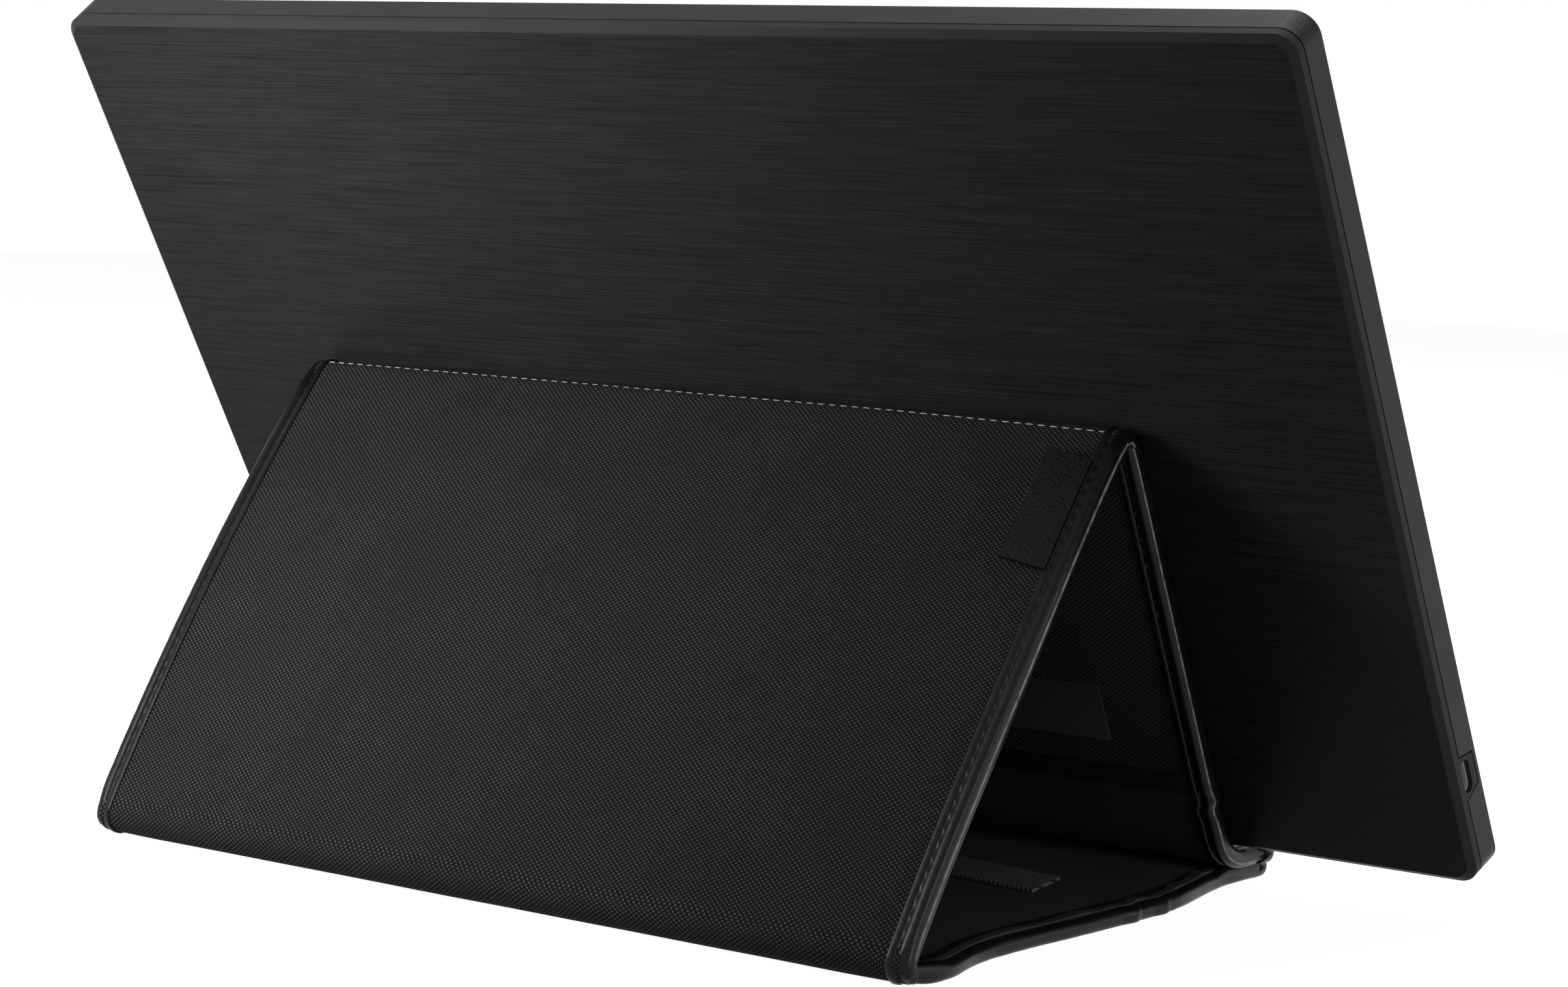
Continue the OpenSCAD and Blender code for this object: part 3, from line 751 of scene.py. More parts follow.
@dataclass(frozen=True)
class Woven:
    """Coarse woven nylon with light yarn dots in diagonal rows."""
    name: str = "woven_nylon"
    light: float = 78.0
    dark: float = 26.0
    across: float = 0.8
    along: float = 0.6
    relief: float = 0.1
    patches: float = 40.0

    def make(self, groups: Groups) -> bpy.types.Material:
        """Mixes the material.

        Args:
            groups: The shared node groups.

        Returns:
            The material.
        """
        f = Finish(self.name, groups, 0.72, cloth=True, Specular_IOR_Level=0.05)
        r = f.recipe
        weave = f.use(groups.weave, Across=self.across * MM, Along=self.along * MM)
        tone = f.use(groups.tone, Scale=self.patches)
        yarn = r.math("MULTIPLY", weave.outputs["Yarn"], r.ramp(tone.outputs["Tone"], 0.2, 0.8, 0.75, 1.1))
        f.colour(r.mix(yarn, grey(self.dark, 1), grey(self.light, 2)))
        f.rough(r.ramp(weave.outputs["Yarn"], 0, 1, 0.85, 0.6))
        f.bump(weave.outputs["Height"], self.relief)
        return f.material


@dataclass(frozen=True)
class Lining:
    """Smooth knitted lining with faint creases."""
    name: str = "knitted_lining"
    # Lighter than the lining's own grey, to stand in for light that doesn't reach inside the sleeve: painted
    # fill light.
    level: float = 58.0
    across: float = 0.34
    along: float = 0.3
    patches: float = 55.0

    def make(self, groups: Groups) -> bpy.types.Material:
        """Mixes the material.

        Args:
            groups: The shared node groups.

        Returns:
            The material.
        """
        f = Finish(self.name, groups, 0.8, cloth=True, Specular_IOR_Level=0.05)
        r = f.recipe
        tone = f.use(groups.tone, Scale=self.patches)
        weave = f.use(groups.weave, Across=self.across * MM, Along=self.along * MM)
        shade = r.math("ADD", r.math("MULTIPLY", tone.outputs["Tone"], 0.7),
                       r.math("MULTIPLY", weave.outputs["Yarn"], 0.3))
        f.colour(r.mix(shade, grey(self.level - 8), grey(self.level + 8, 1)))
        f.bump(weave.outputs["Height"], 0.06, 0.6)
        return f.material


@dataclass(frozen=True)
class Leather:
    """Smooth black leather with a soft sheen, and a painted highlight: lighter along the line that a point
    attribute marks.
    """
    name: str = "edging_leather"
    level: float = 16.0
    # Grey of the painted highlight line along the roll.
    highlight_line: float = 135.0
    rough: float = 0.34
    relief: float = 0.05
    scale: float = 1500.0
    patches: float = 70.0

    def make(self, groups: Groups) -> bpy.types.Material:
        """Mixes the material.

        Args:
            groups: The shared node groups.

        Returns:
            The material.
        """
        f = Finish(self.name, groups, self.rough, Specular_IOR_Level=0.14)
        r = f.recipe
        grain = f.use(groups.grain, Scale=self.scale)
        tone = f.use(groups.tone, Scale=self.patches)
        body = r.mix(tone.outputs["Tone"], grey(self.level - 7, 1), grey(self.level + 9, 2))
        # Painted highlight: the leather turns to a light grey along the marked line, broken up by noise.
        painted_highlight = r.add("Attribute", attribute_name="painted_highlight").outputs["Fac"]
        broken = r.ramp(r.noise(f.place, 420, 3), 0.25, 0.7, 0.35, 1.0)
        highlight_line = r.math("MULTIPLY", r.ramp(painted_highlight, 0.15, 0.85), broken)
        f.colour(r.mix(highlight_line, body, grey(self.highlight_line, 2)))
        f.rough(r.ramp(grain.outputs["Tone"], 0.2, 0.8, self.rough - 0.07, self.rough + 0.12))
        f.bump(grain.outputs["Height"], self.relief)
        return f.material


@dataclass(frozen=True)
class Webbing:
    """Ribbed webbing with ribs across its length."""
    name: str = "ribbed_webbing"
    level: float = 84.0
    pitch: float = 1.5
    relief: float = 0.22

    def make(self, groups: Groups) -> bpy.types.Material:
        """Mixes the material.

        Args:
            groups: The shared node groups.

        Returns:
            The material.
        """
        f = Finish(self.name, groups, 0.7, Specular_IOR_Level=0.35)
        r = f.recipe
        phase = r.math("MULTIPLY", r.add("SeparateXYZ", {0: f.place}).outputs[0], math.pi / (self.pitch * MM))
        rib = r.math("ABSOLUTE", r.math("SINE", phase))
        fibre = r.noise(f.place, 2600, 2)
        yarn = r.math("MULTIPLY", r.ramp(rib, 0.35, 0.75), r.ramp(fibre, 0.2, 0.8, 0.6, 1.1))
        f.colour(r.mix(yarn, grey(6), grey(self.level, 1)))
        f.bump(r.math("ADD", rib, r.math("MULTIPLY", fibre, 0.3)), self.relief)
        return f.material


@dataclass(frozen=True)
class Fuzz:
    """Hook-and-loop tape: a short, uneven pile."""
    name: str = "loop_pile"
    level: float = 22.0
    relief: float = 0.5

    def make(self, groups: Groups) -> bpy.types.Material:
        """Mixes the material.

        Args:
            groups: The shared node groups.

        Returns:
            The material.
        """
        f = Finish(self.name, groups, 0.9, Specular_IOR_Level=0.2, Sheen_Weight=0.15)
        r = f.recipe
        pile = r.noise(f.place, 1300, 4, 0.7)
        f.colour(r.mix(r.ramp(pile, 0.5, 0.68), grey(6), grey(self.level)))
        f.bump(pile, self.relief)
        return f.material


@dataclass(frozen=True)
class Brushed:
    """Brushed satin back with a plain satin bevel and sides.

    The back's own plane is plane metres from the origin once the coordinates are turned by lean.
    """
    name: str = "brushed_shell"
    level: float = 37.0
    rough: float = 0.42
    relief: float = 0.05
    lean: float = -60.0
    plane: float = 0.066155
    patches: float = 12.0

    def make(self, groups: Groups) -> bpy.types.Material:
        """Mixes the material.

        Args:
            groups: The shared node groups.

        Returns:
            The material.
        """
        f = Finish(self.name, groups, self.rough, turn=self.lean, Specular_IOR_Level=0.03)
        r = f.recipe
        brushed = f.use(groups.brushed)
        tone = f.use(groups.tone, Scale=self.patches)
        height = r.add("SeparateXYZ", {0: f.place}).outputs[2]
        back = r.math("LESS_THAN", height, self.plane + 0.15 * MM)
        streak = r.ramp(brushed.outputs["Streak"], 0.2, 0.75)
        lined = r.mix(streak, grey(self.level - 11), grey(self.level + 6.5))
        f.colour(r.mix(back, grey(self.level + 12), lined))
        dull = r.math("ADD", streak, tone.outputs["Tone"])
        f.rough(r.ramp(dull, 0.4, 1.6, self.rough - 0.06, self.rough + 0.1))
        f.bump(r.math("MULTIPLY", brushed.outputs["Streak"], back), self.relief)
        return f.material


@dataclass(frozen=True)
class Moulded:
    """Moulded or painted plastic, metal or film with a fine grain."""
    name: str
    low: Colour
    high: Colour
    rough: float = 0.5
    metal: float = 0.0
    relief: float = 0.01
    grain: float = 4000.0
    specular: float = 0.5
    mottle: float = 1.0
    patches: float = 60.0

    def make(self, groups: Groups) -> bpy.types.Material:
        """Mixes the material.

        Args:
            groups: The shared node groups.

        Returns:
            The material.
        """
        f = Finish(self.name, groups, self.rough, self.metal, Specular_IOR_Level=self.specular)
        r = f.recipe
        tone = f.use(groups.tone, Scale=self.patches).outputs["Tone"]
        fine = r.noise(f.place, self.grain, 2)
        shade = r.math("ADD", r.math("MULTIPLY", tone, 0.6), r.math("MULTIPLY", fine, 0.4))
        f.colour(r.mix(shade, self.low, self.high))
        f.rough(r.ramp(tone, 0.2, 0.8, self.rough - 0.04 * self.mottle, self.rough + 0.06 * self.mottle))
        f.bump(fine, self.relief)
        return f.material


# --------------------------------------------------------------------------
# Sleeve
# --------------------------------------------------------------------------


@dataclass
class Edging:
    """Leather binding of the panels' ends: a full roll, a stitched groove and a flat band."""
    stance: Stance
    roll_w: float = 2.0
    groove: float = 3.95
    stitch: float = 3.6
    thread_dip: float = 0.22
    groove_dip: float = 0.35
    lap: float = 0.07
    pressed: float = 0.11
    crown: float = 0.12
    fullness: float = 0.93
    corner: float = 0.76
    sunk: float = 1.6
    sink_run: float = 14.0
    flat_from: float = -62.0
    drawn: float = 0.2
    drawn_run: float = 7.0

    def section(self, side: Side, st: Station) -> list[Point]:
        """Draws the leather's closed section at a station.

        Args:
            side: Which end it wraps.
            st: The station, which sets the stitches, the pinch at a crease and the small unevenness.

        Returns:
            The section's (x, depth) points in mm.
        """
        s = self.stance
        lip = st.panel is Panel.LIP
        press = min(1.0, max(0.0, (st.share - 0.4) / 0.4 if lip else (self.flat_from - st.y) / 6))
        press = press if lip or st.panel is Panel.BASE else 0.0
        w, g, mid = s.edging_w, self.groove, 0.0 if lip else s.mid
        core = (s.lip_t - 2 * s.edging_t) / 2 if lip else s.panel_t / 2
        half = core + s.edging_t + self.lap - self.pressed * press
        beat = 0.0 if lip and st.share else 0.5 + 0.5 * math.cos(2 * math.pi * st.run / self.stitch)
        dip = half - self.groove_dip - self.thread_dip * beat ** 2
        rough = 0.07 * wave(st.run, 0, 5, 2.0 + side.value) + 0.05 * wave(st.run, 3, 1.7, side.value)
        outer = [(w, half - 0.3), (w - 0.25, half - 0.06), (w - 0.8, half), (g + 0.55, half - 0.08),
                 (g + 0.2, (half + dip) / 2), (g, dip), (g - 0.25, dip + 0.1)]
        roll, high = [], half + (self.crown + rough) * (1 - press)
        for deg in range(48, 313, 12):
            c, sn = math.cos(math.radians(deg)), math.sin(math.radians(deg))
            roll.append((self.roll_w * (1 + math.copysign(abs(c) ** self.corner, c)) * self.fullness,
                         high * math.copysign(abs(sn) ** self.corner, sn)))
        inner = [(x, -d) for x, d in reversed(outer)]
        path = outer + roll + inner + [(s.nose, -core), (s.nose, core)]
        edge, lean, sink = s.edge(side, st), self.pinch(st), 0.0
        if st.panel is Panel.BASE:
            sink = self.sunk * (1 - press) * min(1.0, st.share * s.base_len / self.sink_run)
        found = []
        for x, d in path:
            depth = mid + d
            depth += sink * max(0.0, 1 - x / w) * max(0.0, 0.5 - d / half / 2)
            if st.panel in (Panel.BASE, Panel.FOOT):
                depth = min(depth, s.fold_r - 0.02)
            if depth > 0:
                depth *= 1 - lean * max(0.0, 1 - x / 5)
            found.append((edge - side.value * x, depth))
        return found

    def highlight_line(self, stations: Sequence[Station]) -> list[int]:
        """Returns the section's point that carries the painted highlight line at each station, -1 where there
        is none.
        """
        # Points of the roll that get the painted highlight, panel by panel.
        marks = {Panel.REAR: 18, Panel.RIDGE: 19, Panel.FRONT: 20, Panel.LIP: 20}
        return [marks.get(st.panel, -1) for st in stations]

    def pinch(self, st: Station) -> float:
        """Finds how far the leather draws in towards a crease.

        Args:
            st: The station.

        Returns:
            The share of its depth that it loses.
        """
        if st.panel in (Panel.RIDGE, Panel.FOOT):
            return self.drawn + 0.05 * wave(st.run, 1, 1.2, 6.0)
        away = {Panel.REAR: min(st.share, 1 - st.share) * self.stance.rear_len,
                Panel.FRONT: st.share * self.stance.front_len,
                Panel.BASE: st.share * self.stance.base_len}.get(st.panel, self.drawn_run)
        return self.drawn * max(0.0, 1 - away / self.drawn_run) ** 2


@dataclass
class Sleeve:
    """The folded sleeve: fabric shell, linings, leather and sewn parts."""
    stance: Stance
    finishes: dict[str, bpy.types.Material]
    split: float = 70.0
    bend_reach: float = 4.8
    puff_height: float = 0.12
    puff_size: float = 34.0
    fold_depth: float = 0.45
    fold_size: float = 22.0
    cols: int = 44
    pieces: list[bpy.types.Object] = field(default_factory=list)

    def dress(self, obj: bpy.types.Object, finish: str, nodes: Sequence[str],
              body: str = "", crease: Optional[Crease] = None) -> bpy.types.Object:
        """Gives a piece its finish and its place in the frame.

        Args:
            obj: The piece.
            finish: Name of its finish.
            nodes: CAD nodes that it stands for.
            body: The body that it rides, or "" if it bends.
            crease: The crease at which it bends, if it does.

        Returns:
            The piece.
        """
        obj.data.materials.append(self.finishes[finish])
        if crease:
            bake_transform(obj)
        else:
            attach(obj, body)
        if nodes:
            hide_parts(*nodes)
        self.pieces.append(obj)
        LOG.info("%s: %d faces", obj.name, len(obj.data.polygons))
        return obj

    def layer(self, low: float, puff: Rise = flat, below: Rise = flat) -> Callable[[Station], list[Point]]:
        """Draws a cloth layer between the two end closures.

        Args:
            low: Depth of its inner face.
            puff: How far the outer face stands out at x and a station.
            below: How far the inner face stands in there.

        Returns:
            What gives its section at a station.
        """
        high = low + CLOTH_T

        def points(station: Station) -> list[Point]:
            """Goes out along one face and back along the other.

            Args:
                station: The station.

            Returns:
                The section.
            """
            x0, x1 = self.across(station)
            xs = spread(x0, x1, (x1 - x0) / self.cols)
            return ([(x, high + puff(x, station)) for x in xs]
                    + [(x, low - below(x, station)) for x in reversed(xs)])
        return points

    def across(self, station: Station) -> Point:
        """Returns where the cloth layers start and stop across X at a station."""
        s = self.stance
        return s.edge(Side.NEAR, station) + s.nose, s.edge(Side.FAR, station) - s.nose

    def shell(self) -> None:
        """Builds the woven outer fabric in two lengths that meet on the rear panel."""
        s = self.stance

        def puff(x: float, st: Station) -> float:
            """Makes the fabric softly uneven, but not at its ends and not on the base.

            Args:
                x: Place across the sleeve in mm.
                st: The station.

            Returns:
                How far it stands out in mm.
            """
            x0, x1 = self.across(st)
            inside = min(1.0, max(0.0, (min(x - x0, x1 - x) - 4) / 12))
            soft = 1 + wave(x, st.run, self.puff_size, 3.0)
            return self.puff_height * inside * soft if st.run > 0 else 0.0

        lower = joined(s.base(s.base_len - s.nose, 0, 8), s.foot_arc(ARC_STEP), s.rear(0, self.split, 2.5))
        upper = joined(s.rear(self.split, s.rear_len, 2.5), s.ridge_arc(ARC_STEP), s.front(0, s.front_len, 4))
        section = self.layer(s.outer - CLOTH_T, puff)
        self.dress(sweep("fabric_lower", lower, section), "woven",
                   ["base_outer", "foot_crease", "rear_outer"], crease=Crease.FOOT)
        self.dress(sweep("fabric_upper", upper, section), "woven",
                   ["rear_outer", "ridge_crease", "front_outer"], crease=Crease.RIDGE)

    def linings(self) -> None:
        """Builds the linings on the panels' inner faces."""
        s = self.stance

        def crease(x: float, st: Station) -> float:
            """Returns the lining's soft creases, on the base only."""
            fold = abs(wave(x * 0.5 + 30, st.run, self.fold_size, 8.0))
            return self.fold_depth * max(0.0, 1 - fold * 5) if st.panel is Panel.BASE else 0.0

        section, plain = self.layer(s.inner, below=crease), self.layer(s.inner)
        lower = joined(s.base(s.base_len - s.nose, 0, 1.6), s.foot_arc(0.2), s.rear(0, self.split, 4))
        upper = joined(s.rear(self.split, s.rear_len, 4), s.ridge_arc(0.2))
        self.dress(sweep("lining_lower", lower, section), "lining",
                   ["base_lining", "rear_lining"], crease=Crease.FOOT)
        self.dress(sweep("lining_upper", upper, plain), "lining", ["rear_lining"],
                   crease=Crease.RIDGE)
        # The front panel's inside fabric takes the lighter copy of the woven nylon: painted fill light.
        self.dress(sweep("lining_front", s.front(REST_GAP, SEAM_RUN, 4), plain), "woven_painted_fill",
                   ["front_lining"], body="front")
        self.dress(sweep("lining_front_low", s.front(SEAM_RUN, s.front_len, 2), plain), "lining",
                   ["front_lining"], body="front")

    def edgings(self) -> None:
        """Builds the leather round both ends of every panel."""
        s = self.stance
        edging = Edging(s)
        for side in Side:
            tag = side.name.lower()

            def rolled(st: Station, side: Side = side) -> list[Point]:
                """Returns the section on this side."""
                return edging.section(side, st)

            lower = joined(s.base(s.base_len - LEATHER_BACK, 0, LEATHER_STEP), s.foot_arc(0.1),
                           s.rear(0, self.split, LEATHER_STEP))
            upper = joined(s.rear(self.split, s.rear_len, LEATHER_STEP), s.ridge_arc(ARC_STEP),
                           s.front(0, s.front_len + 0.1, LEATHER_STEP))
            self.dress(sweep(f"leather_lower_{tag}", lower, rolled, highlighted=edging.highlight_line(lower)), "leather",
                       ["base_edging", "foot_crease_edging", "rear_edging"], crease=Crease.FOOT)
            self.dress(sweep(f"leather_upper_{tag}", upper, rolled, highlighted=edging.highlight_line(upper)), "leather",
                       ["rear_edging", "ridge_crease_edging", "front_edging"], crease=Crease.RIDGE)

    def boards(self) -> None:
        """Builds the stiffening boards, which follow the soft outline of base and rear panel."""
        s = self.stance
        low = s.inner + CLOTH_T

        def sheet(st: Station) -> list[Point]:
            """Returns a board's section."""
            x0, x1 = self.across(st)
            return [(x0, low), (x1, low), (x1, low + BOARD_T), (x0, low + BOARD_T)]

        for body, run in (("base", s.base(2.0, s.base_len - s.nose, 4)),
                          ("rear", s.rear(3.0, s.rear_len - 3.0, 4))):
            self.dress(sweep(f"board_{body}", run, sheet), "fibre", [f"{body}_board"], body=body)

    def front_edges(self) -> None:
        """Builds the leather round the free edges of the base and of the lip."""
        s = self.stance
        (near, far), front = s.ends, s.foot[0] - s.base_len
        start = s.edge(Side.NEAR, s.base(s.base_len - LEATHER_BACK, 0)[0])
        self.front_roll("leather_base_front", "base_edging", (start, far), (front - 2.8, s.foot[1] - s.mid),
                        s.panel_t + 2 * s.edging_t)
        self.front_roll("leather_lip_front", "lip_edging", (near - 1.0, far),
                        (front + s.lip_back - 1.5, s.lip_mid_z), s.lip_t)

    def front_roll(self, name: str, node: str, ends: Point, nose: Point, full: float) -> None:
        """Folds leather over a free edge, with rounded tips.

        Args:
            name: The piece's name.
            node: The CAD node that it stands for.
            ends: Where it starts and stops on X in mm.
            nose: Foremost line of the roll as (y, z) in mm.
            full: Thickness over the leather in mm.
        """
        s, (x0, x1) = self.stance, ends
        half, hollow = full / 2, full / 2 - s.edging_t
        deep = s.edging_w + 1.6
        inner = deep - 3.6
        path = [(deep, hollow), (deep - 0.2, half - 0.1), (deep - 1, half)]
        path += [(half - half * math.sin(math.radians(a)), half * math.cos(math.radians(a)))
                 for a in range(0, 181, 20)]
        path += [(deep - 1, -half), (deep - 0.2, 0.1 - half), (deep, -hollow)]
        path += [(inner, -hollow), (inner, hollow)]
        blunt = half * 0.5
        tip = [blunt * (1 - math.cos(math.radians(a))) for a in range(8, 91, 10)] + [blunt + 0.4]
        middle = spread(x0 + half + 2, x1 - half - 2, 4.5)
        places = [x0 + off for off in tip] + middle + [x1 - off for off in reversed(tip)]
        rings = []
        for place in places:
            reach = min(place - x0, x1 - place, blunt)
            size = math.sqrt(max(0.02, 1 - (1 - reach / blunt) ** 2))
            rings.append([Vector((place, nose[0] + half + (y - half) * size, nose[1] + z * size)) * MM
                          for y, z in path])
        self.dress(tube(name, rings, places), "leather", [node], body="base")

    def lip(self) -> None:
        """Builds the folded lip that carries the monitor, with its leather ends."""
        s = self.stance
        half, edging, run = s.lip_t / 2 - s.edging_t, Edging(s), s.lip(3.0)

        def band(st: Station) -> list[Point]:
            """Draws the padded band.

            Args:
                st: The station.

            Returns:
                The section.
            """
            x0, x1 = self.across(st)
            xs = spread(x0, x1, (x1 - x0) / self.cols)
            return ([(x, half) for x in xs] + [(x, -half) for x in reversed(xs)])

        obj = sweep("lip_fabric", s.lip(s.nose), band, second=range(self.cols, 2 * self.cols + 2))
        self.dress(obj, "woven", ["lip_panel"], body="base")
        obj.data.materials.append(self.finishes["lining"])
        for side in Side:

            def wrap(st: Station, side: Side = side) -> list[Point]:
                """Returns the leather's section round the lip's end."""
                return edging.section(side, st)

            self.dress(sweep(f"leather_lip_{side.name.lower()}", run, wrap, highlighted=edging.highlight_line(run)),
                       "leather", ["lip_edging"], body="base")

    def sewn_parts(self) -> None:
        """Builds the label tab, the loop patch, the tapes and the webbing tab."""
        self.label()
        self.front_tapes()
        self.base_tapes()

    def label(self) -> None:
        """Builds the bare leather tab, whose far edge stands a little off the fabric."""
        s = self.stance

        def tab(st: Station) -> list[Point]:
            """Draws the tab, a flap that rises away from the sleeve's end.

            Args:
                st: The station.

            Returns:
                The section.
            """
            x0, rise = s.edge(Side.NEAR, st) + 5.4, 0.42
            low = [(x0 + t, s.outer - 0.15 + rise * t - 0.006 * t * t) for t in (0, 3, 6, 9, 10.6)]
            return ([(x, d) for x, d in low] + [(low[-1][0] + 0.25, low[-1][1] + 0.55)]
                    + [(x - 0.35, d + 1.15) for x, d in reversed(low)])

        label = sweep("label_leather", s.rear(99.5, 131.5, 1.5), tab)
        self.dress(label, "leather_grained", ["label_tab"], body="rear")
        spot = s.rear(115, 116)[0]
        spot.at(0, s.outer)
        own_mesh(label)

    def front_tapes(self) -> None:
        """Builds the loop patch and the tape over the seam of the front panel's lining."""
        s = self.stance
        turn = math.pi / 2 + s.front_rise
        down = Vector((0, -math.cos(s.front_rise), -math.sin(s.front_rise)))
        out = Vector((0, math.cos(turn), math.sin(turn)))

        def on_front(x: float, run: float, depth: float) -> tuple[float, float, float]:
            """Returns a point on the front panel in mm."""
            p = Vector((x, *s.ridge)) + down * run + out * depth
            return p.x, p.y, p.z

        patch = (-100, -40), (72, 88), 0.8
        strip = (s.ends[0] + 6, s.ends[1] - 6), (SEAM_RUN - 3, SEAM_RUN + 3), 0.5
        for name, node, finish, slot, ((xa, xb), (ra, rb), thick) in (
                ("loop_tape", "loop_patch", "fuzz", "hook_and_loop", patch),
                ("seam_tape", "seam_strip", "lining_smooth", "lining", strip)):
            corners = [on_front(x, r, s.inner) for x, r in ((xa, ra), (xb, ra), (xb, rb), (xa, rb))]
            self.dress(slab(name, corners, -out * thick, 0.2), finish, [node], body="front")

    def base_tapes(self) -> None:
        """Builds the webbing tab and the fastening tapes on the base's lining."""
        s = self.stance
        top = s.fold_r - s.inner
        corners = [(-98.3, -23.9, top), (-41, -31, top), (-43, -13.5, top), (-101.5, -5.5, top)]
        self.dress(slab("webbing_tab", corners, Vector((0, 0, 1.2)), 0.35), "webbing",
                   ["pull_tab"], body="base")
        y, tape_w, tape_t = s.foot[0] - s.base_len + s.lip_back + s.edging_w + REST_GAP, 5.5, 0.5
        xa, xb = s.ends[0] + 16, s.ends[1] - 16
        for name, node, z in (("hook_tape", "hook_strip", top),
                              ("loop_lip_tape", "lip_loop_strip", top + tape_t)):
            corners = [(xa, y, z), (xb, y, z), (xb, y + tape_w, z), (xa, y + tape_w, z)]
            self.dress(slab(name, corners, Vector((0, 0, tape_t)), 0.1), "fuzz", [node],
                       body="base")

    def ridge_thread(self) -> None:
        """Sews the dashed light stitches along the ridge."""
        s = self.stance
        arc = s.ridge_arc(0.02)
        places = []
        for x in spread(s.ends[0] + 6.5, s.ends[1] - 9, 3.5):
            share = 0.27 - 0.17 * max(0.0, 1 - (x - s.ends[0]) / 70)
            top = arc[int(len(arc) * share)]
            places.append((top.at(x, s.outer + 0.12), Vector((1, 0, 0)),
                           Vector((0, math.cos(top.turn), math.sin(top.turn)))))
        self.dress(stitches("ridge_stitches", places, 2.3, 0.38), "thread", [], crease=Crease.RIDGE)

    def build(self) -> None:
        """Builds the whole sleeve."""
        self.shell()
        self.linings()
        self.boards()
        self.edgings()
        self.front_edges()
        self.lip()
        self.sewn_parts()
        self.ridge_thread()


# --------------------------------------------------------------------------
# Monitor
# --------------------------------------------------------------------------


@dataclass
class Monitor:
    """The monitor's own nodes, which keep their shapes and get their finishes."""
    finishes: dict[str, bpy.types.Material]
    dressing: dict[str, str] = field(default_factory=lambda: {
        "rear_cover": "brushed", "front_bezel": "bezel", "power_key": "key", "menu_key": "key",
        "up_key": "key", "down_key": "key", "lcd_cell": "screen", "cell_gasket": "gasket",
        "light_guide": "acrylic", "light_pipe": "acrylic", "led_bar": "led", "backlight_tray": "sheet",
        "support_plate": "sheet", "plate_screws": "steel", "board_screws": "steel", "shield_can": "steel",
        "port_shell": "steel", "main_board": "board", "key_board": "board", "board_chips": "chip",
        "key_switches": "chip", "panel_cable": "film", "key_cable": "film", "port_tongue": "tongue",
        "front_board": "fibre"})

    def build(self) -> None:
        """Puts each finish on its nodes' own material slots."""
        for node, finish in self.dressing.items():
            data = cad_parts[node].data
            if not data.materials:
                data.materials.append(None)
            for i in range(len(data.materials)):
                data.materials[i] = self.finishes[finish]
            LOG.info("%s: %s", node, finish)


# --------------------------------------------------------------------------
# Studio
# --------------------------------------------------------------------------


@dataclass(frozen=True)
class Lamp:
    """A soft box: its place and target, its width and height in metres, and its power in watts."""
    name: str
    place: tuple[float, float, float]
    target: tuple[float, float, float]
    size: Point
    watts: float


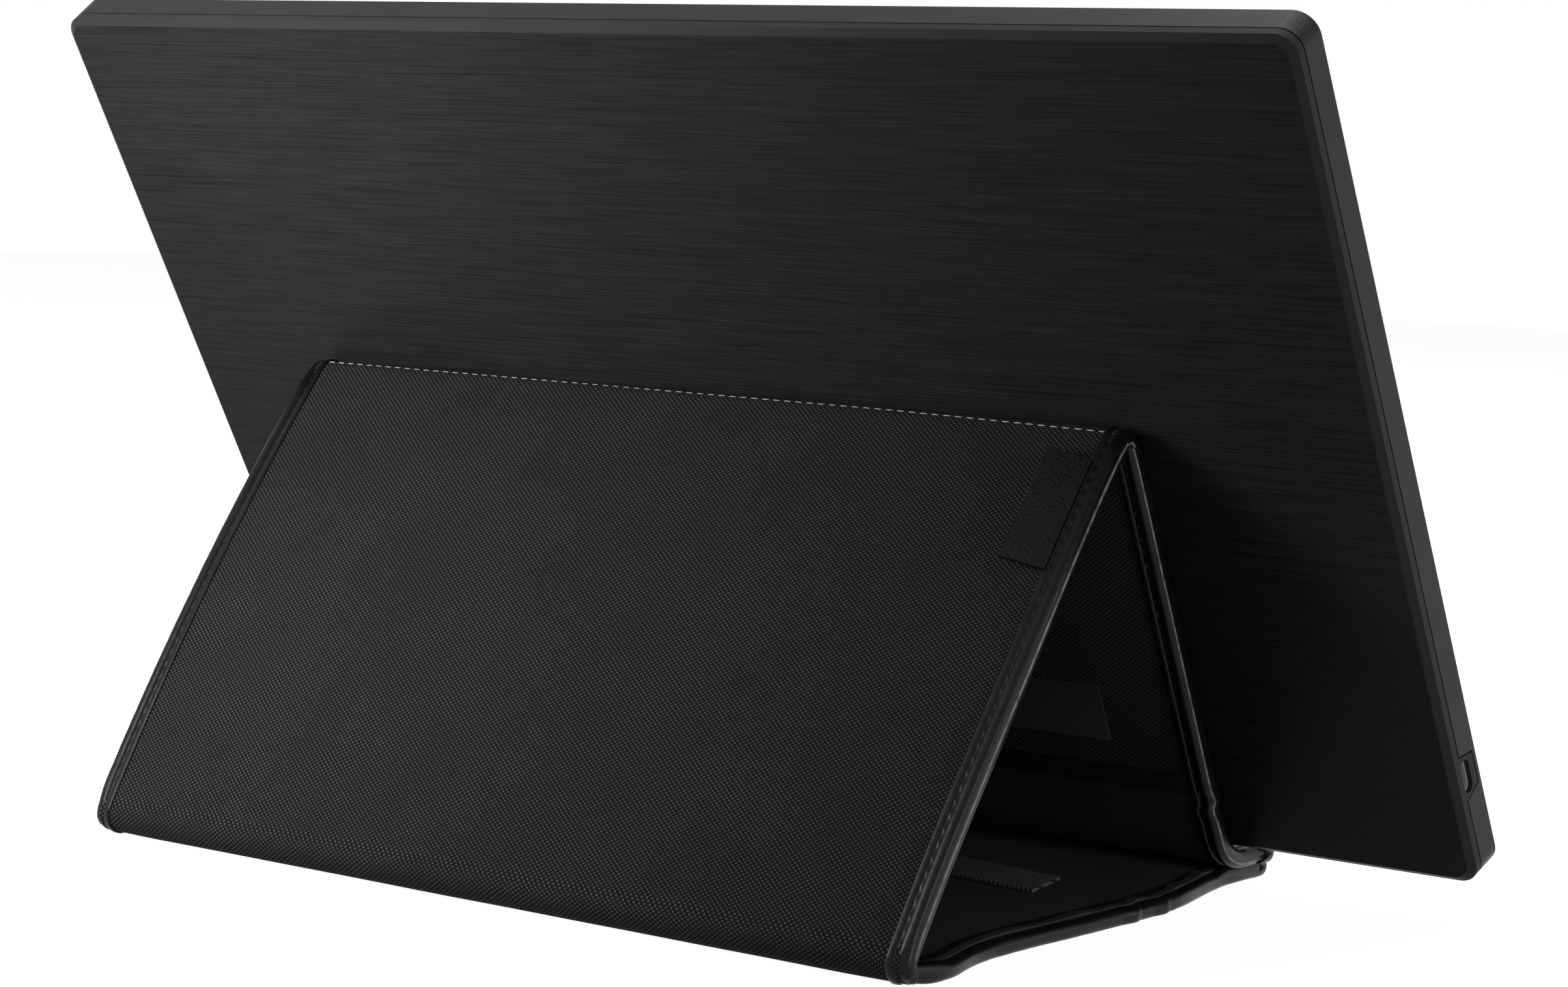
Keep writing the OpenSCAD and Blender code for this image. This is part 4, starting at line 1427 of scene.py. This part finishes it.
@dataclass
class Studio:
    """Floor, lamps, surroundings and camera."""
    eye: tuple[float, float, float] = (-0.567009, 0.758445, 0.190222)
    right: tuple[float, float, float] = (-0.81192349, -0.58282486, 0.03309724)
    down: tuple[float, float, float] = (-0.08449605, 0.06123243, -0.9945406)
    ahead: tuple[float, float, float] = (0.57761637, -0.81028746, -0.09896245)
    lens: float = 84.262
    shift: Point = (-0.0006, 0.0009)
    ambient: float = 0.06
    floor_grey: float = 0.22
    floor_glow: float = 0.96
    lamps: tuple[Lamp, ...] = (
        Lamp("key", (0.152, 0.26, 0.18), (0.1, 0.0, 0.13), (0.16, 0.16), 1.42),
        Lamp("end", (-1.0, 0.15, 0.16), (-0.12, 0, 0.08), (0.3, 0.5), 3.6),
        Lamp("strip", (-0.95, -0.6, 0.14), (-0.12, 0, 0.08), (0.06, 0.6), 1.6),
        Lamp("back", (0.0, -1.0, 1.3), (0, 0, 0.1), (1.0, 0.6), 64))

    def camera(self) -> None:
        """Places the camera where the photograph was taken."""
        data = bpy.data.cameras.new("camera")
        data.lens, data.sensor_width = self.lens, 36.0
        data.shift_x, data.shift_y = self.shift
        data.clip_start, data.clip_end = 0.05, 20
        obj = bpy.data.objects.new("camera", data)
        turn = Matrix((self.right, -Vector(self.down), -Vector(self.ahead))).transposed().to_4x4()
        obj.matrix_world = Matrix.Translation(self.eye) @ turn
        bpy.context.scene.collection.objects.link(obj)
        bpy.context.scene.camera = obj

    def surroundings(self) -> None:
        """Sets a world that looks white and lights the object only a little."""
        world = bpy.data.worlds.new("studio")
        bpy.context.scene.world = world
        world.use_nodes = True
        tree = world.node_tree
        tree.nodes.clear()
        r = Recipe(tree)
        seen = self.shown(r)
        lit = r.add("Background", {"Color": (1, 1, 1, 1), "Strength": self.ambient})
        white = r.add("Background", {"Color": (1, 1, 1, 1), "Strength": 1.0})
        mixed = r.add("MixShader", {0: seen, 1: lit.outputs[0], 2: white.outputs[0]})
        r.add("OutputWorld", {0: mixed.outputs[0]})

    def shown(self, r: Recipe) -> bpy.types.NodeSocket:
        """Returns 1 for the rays in which the background shows, seen straight, mirrored or through glass."""
        path = r.add("LightPath").outputs
        return r.math("MAXIMUM", path["Is Camera Ray"],
                      r.math("MAXIMUM", path["Is Glossy Ray"], path["Is Transmission Ray"]))

    def floor(self) -> None:
        """Lays a white floor that keeps the object's shadow."""
        bm = bmesh.new()
        bmesh.ops.create_grid(bm, x_segments=1, y_segments=1, size=3.0)
        obj = finished(bm, "floor")
        material = bpy.data.materials.new("floor_white")
        material.use_nodes = True
        tree = material.node_tree
        tree.nodes.clear()
        r = Recipe(tree)
        seen = self.shown(r)
        diffuse = r.add("BsdfDiffuse", {"Color": (*[self.floor_grey] * 3, 1)})
        bright = r.math("MULTIPLY", seen, self.floor_glow)
        glow = r.add("Emission", {"Color": (1, 1, 1, 1), "Strength": bright})
        both = r.add("AddShader", {0: diffuse.outputs[0], 1: glow.outputs[0]})
        r.add("OutputMaterial", {0: both.outputs[0]})
        obj.data.materials.append(material)

    def hang(self, lamp: Lamp) -> None:
        """Hangs a lamp that the camera doesn't see.

        Args:
            lamp: The lamp.
        """
        data = bpy.data.lights.new(lamp.name, "AREA")
        data.shape, data.energy = "RECTANGLE", lamp.watts
        data.size, data.size_y = lamp.size
        obj = bpy.data.objects.new(lamp.name, data)
        obj.location = lamp.place
        obj.visible_camera = False
        aim = Vector(lamp.target) - Vector(lamp.place)
        obj.rotation_euler = aim.to_track_quat("-Z", "Y").to_euler()
        bpy.context.scene.collection.objects.link(obj)

    def build(self) -> None:
        """Builds the whole studio."""
        self.camera()
        self.surroundings()
        self.floor()
        for lamp in self.lamps:
            self.hang(lamp)
        bpy.context.scene.view_settings.view_transform = "Standard"


def finishes() -> dict[str, bpy.types.Material]:
    """Mixes every finish.

    Returns:
        The materials by the names that the pieces ask for.
    """
    groups = Groups()
    styles = {
        "woven": Woven(),
        # A lighter copy of the woven nylon for the inside, standing in for light that doesn't reach in there:
        # painted fill light.
        "woven_painted_fill": Woven("woven_inside_painted_fill", 100, 40),
        "lining": Lining(),
        "lining_smooth": Lining("smooth_tape", 26),
        "leather": Leather(),
        "leather_grained": Leather("grained_leather", level=18, rough=0.45, relief=0.3),
        "webbing": Webbing(),
        "fuzz": Fuzz(),
        "brushed": Brushed(),
        "thread": Moulded("light_thread", grey(125, 3), grey(185, 3), 0.7, grain=6000, relief=0.05),
        "bezel": Moulded("bezel_satin", grey(31), grey(36), 0.42, specular=0.1),
        "key": Moulded("key_gloss", grey(36), grey(42), 0.4, specular=0.2),
        "screen": Moulded("screen_face", grey(14), grey(16), 0.5, specular=0.12, mottle=0.1),
        "gasket": Moulded("gasket_rubber", grey(24), grey(34), 0.8),
        "acrylic": Moulded("clear_acrylic", grey(200), grey(225), 0.1),
        "led": Moulded("led_white", grey(215, 4), grey(235, 4), 0.5),
        "sheet": Moulded("sheet_metal", grey(165), grey(190), 0.35, 1.0),
        "steel": Moulded("bright_steel", grey(205), grey(225), 0.35, 0.5),
        "board": Moulded("solder_mask", (0.012, 0.06, 0.02, 1), (0.02, 0.1, 0.035, 1), 0.35),
        "chip": Moulded("chip_resin", grey(34), grey(44), 0.6),
        "film": Moulded("cable_film", (0.35, 0.16, 0.02, 1), (0.45, 0.22, 0.04, 1), 0.3),
        "tongue": Moulded("tongue_resin", grey(26), grey(34), 0.5),
        "fibre": Moulded("fibre_sheet", grey(120, 12), grey(150, 12), 0.9, relief=0.1, grain=900),
    }
    return {name: style.make(groups) for name, style in styles.items()}


def main() -> None:
    """Builds the studio, the monitor and the sleeve."""
    logging.basicConfig(level=logging.INFO, format="%(message)s")
    made = finishes()
    Studio().build()
    Monitor(made).build()
    Sleeve(Stance(), made).build()


if __name__ == "__main__":
    main()
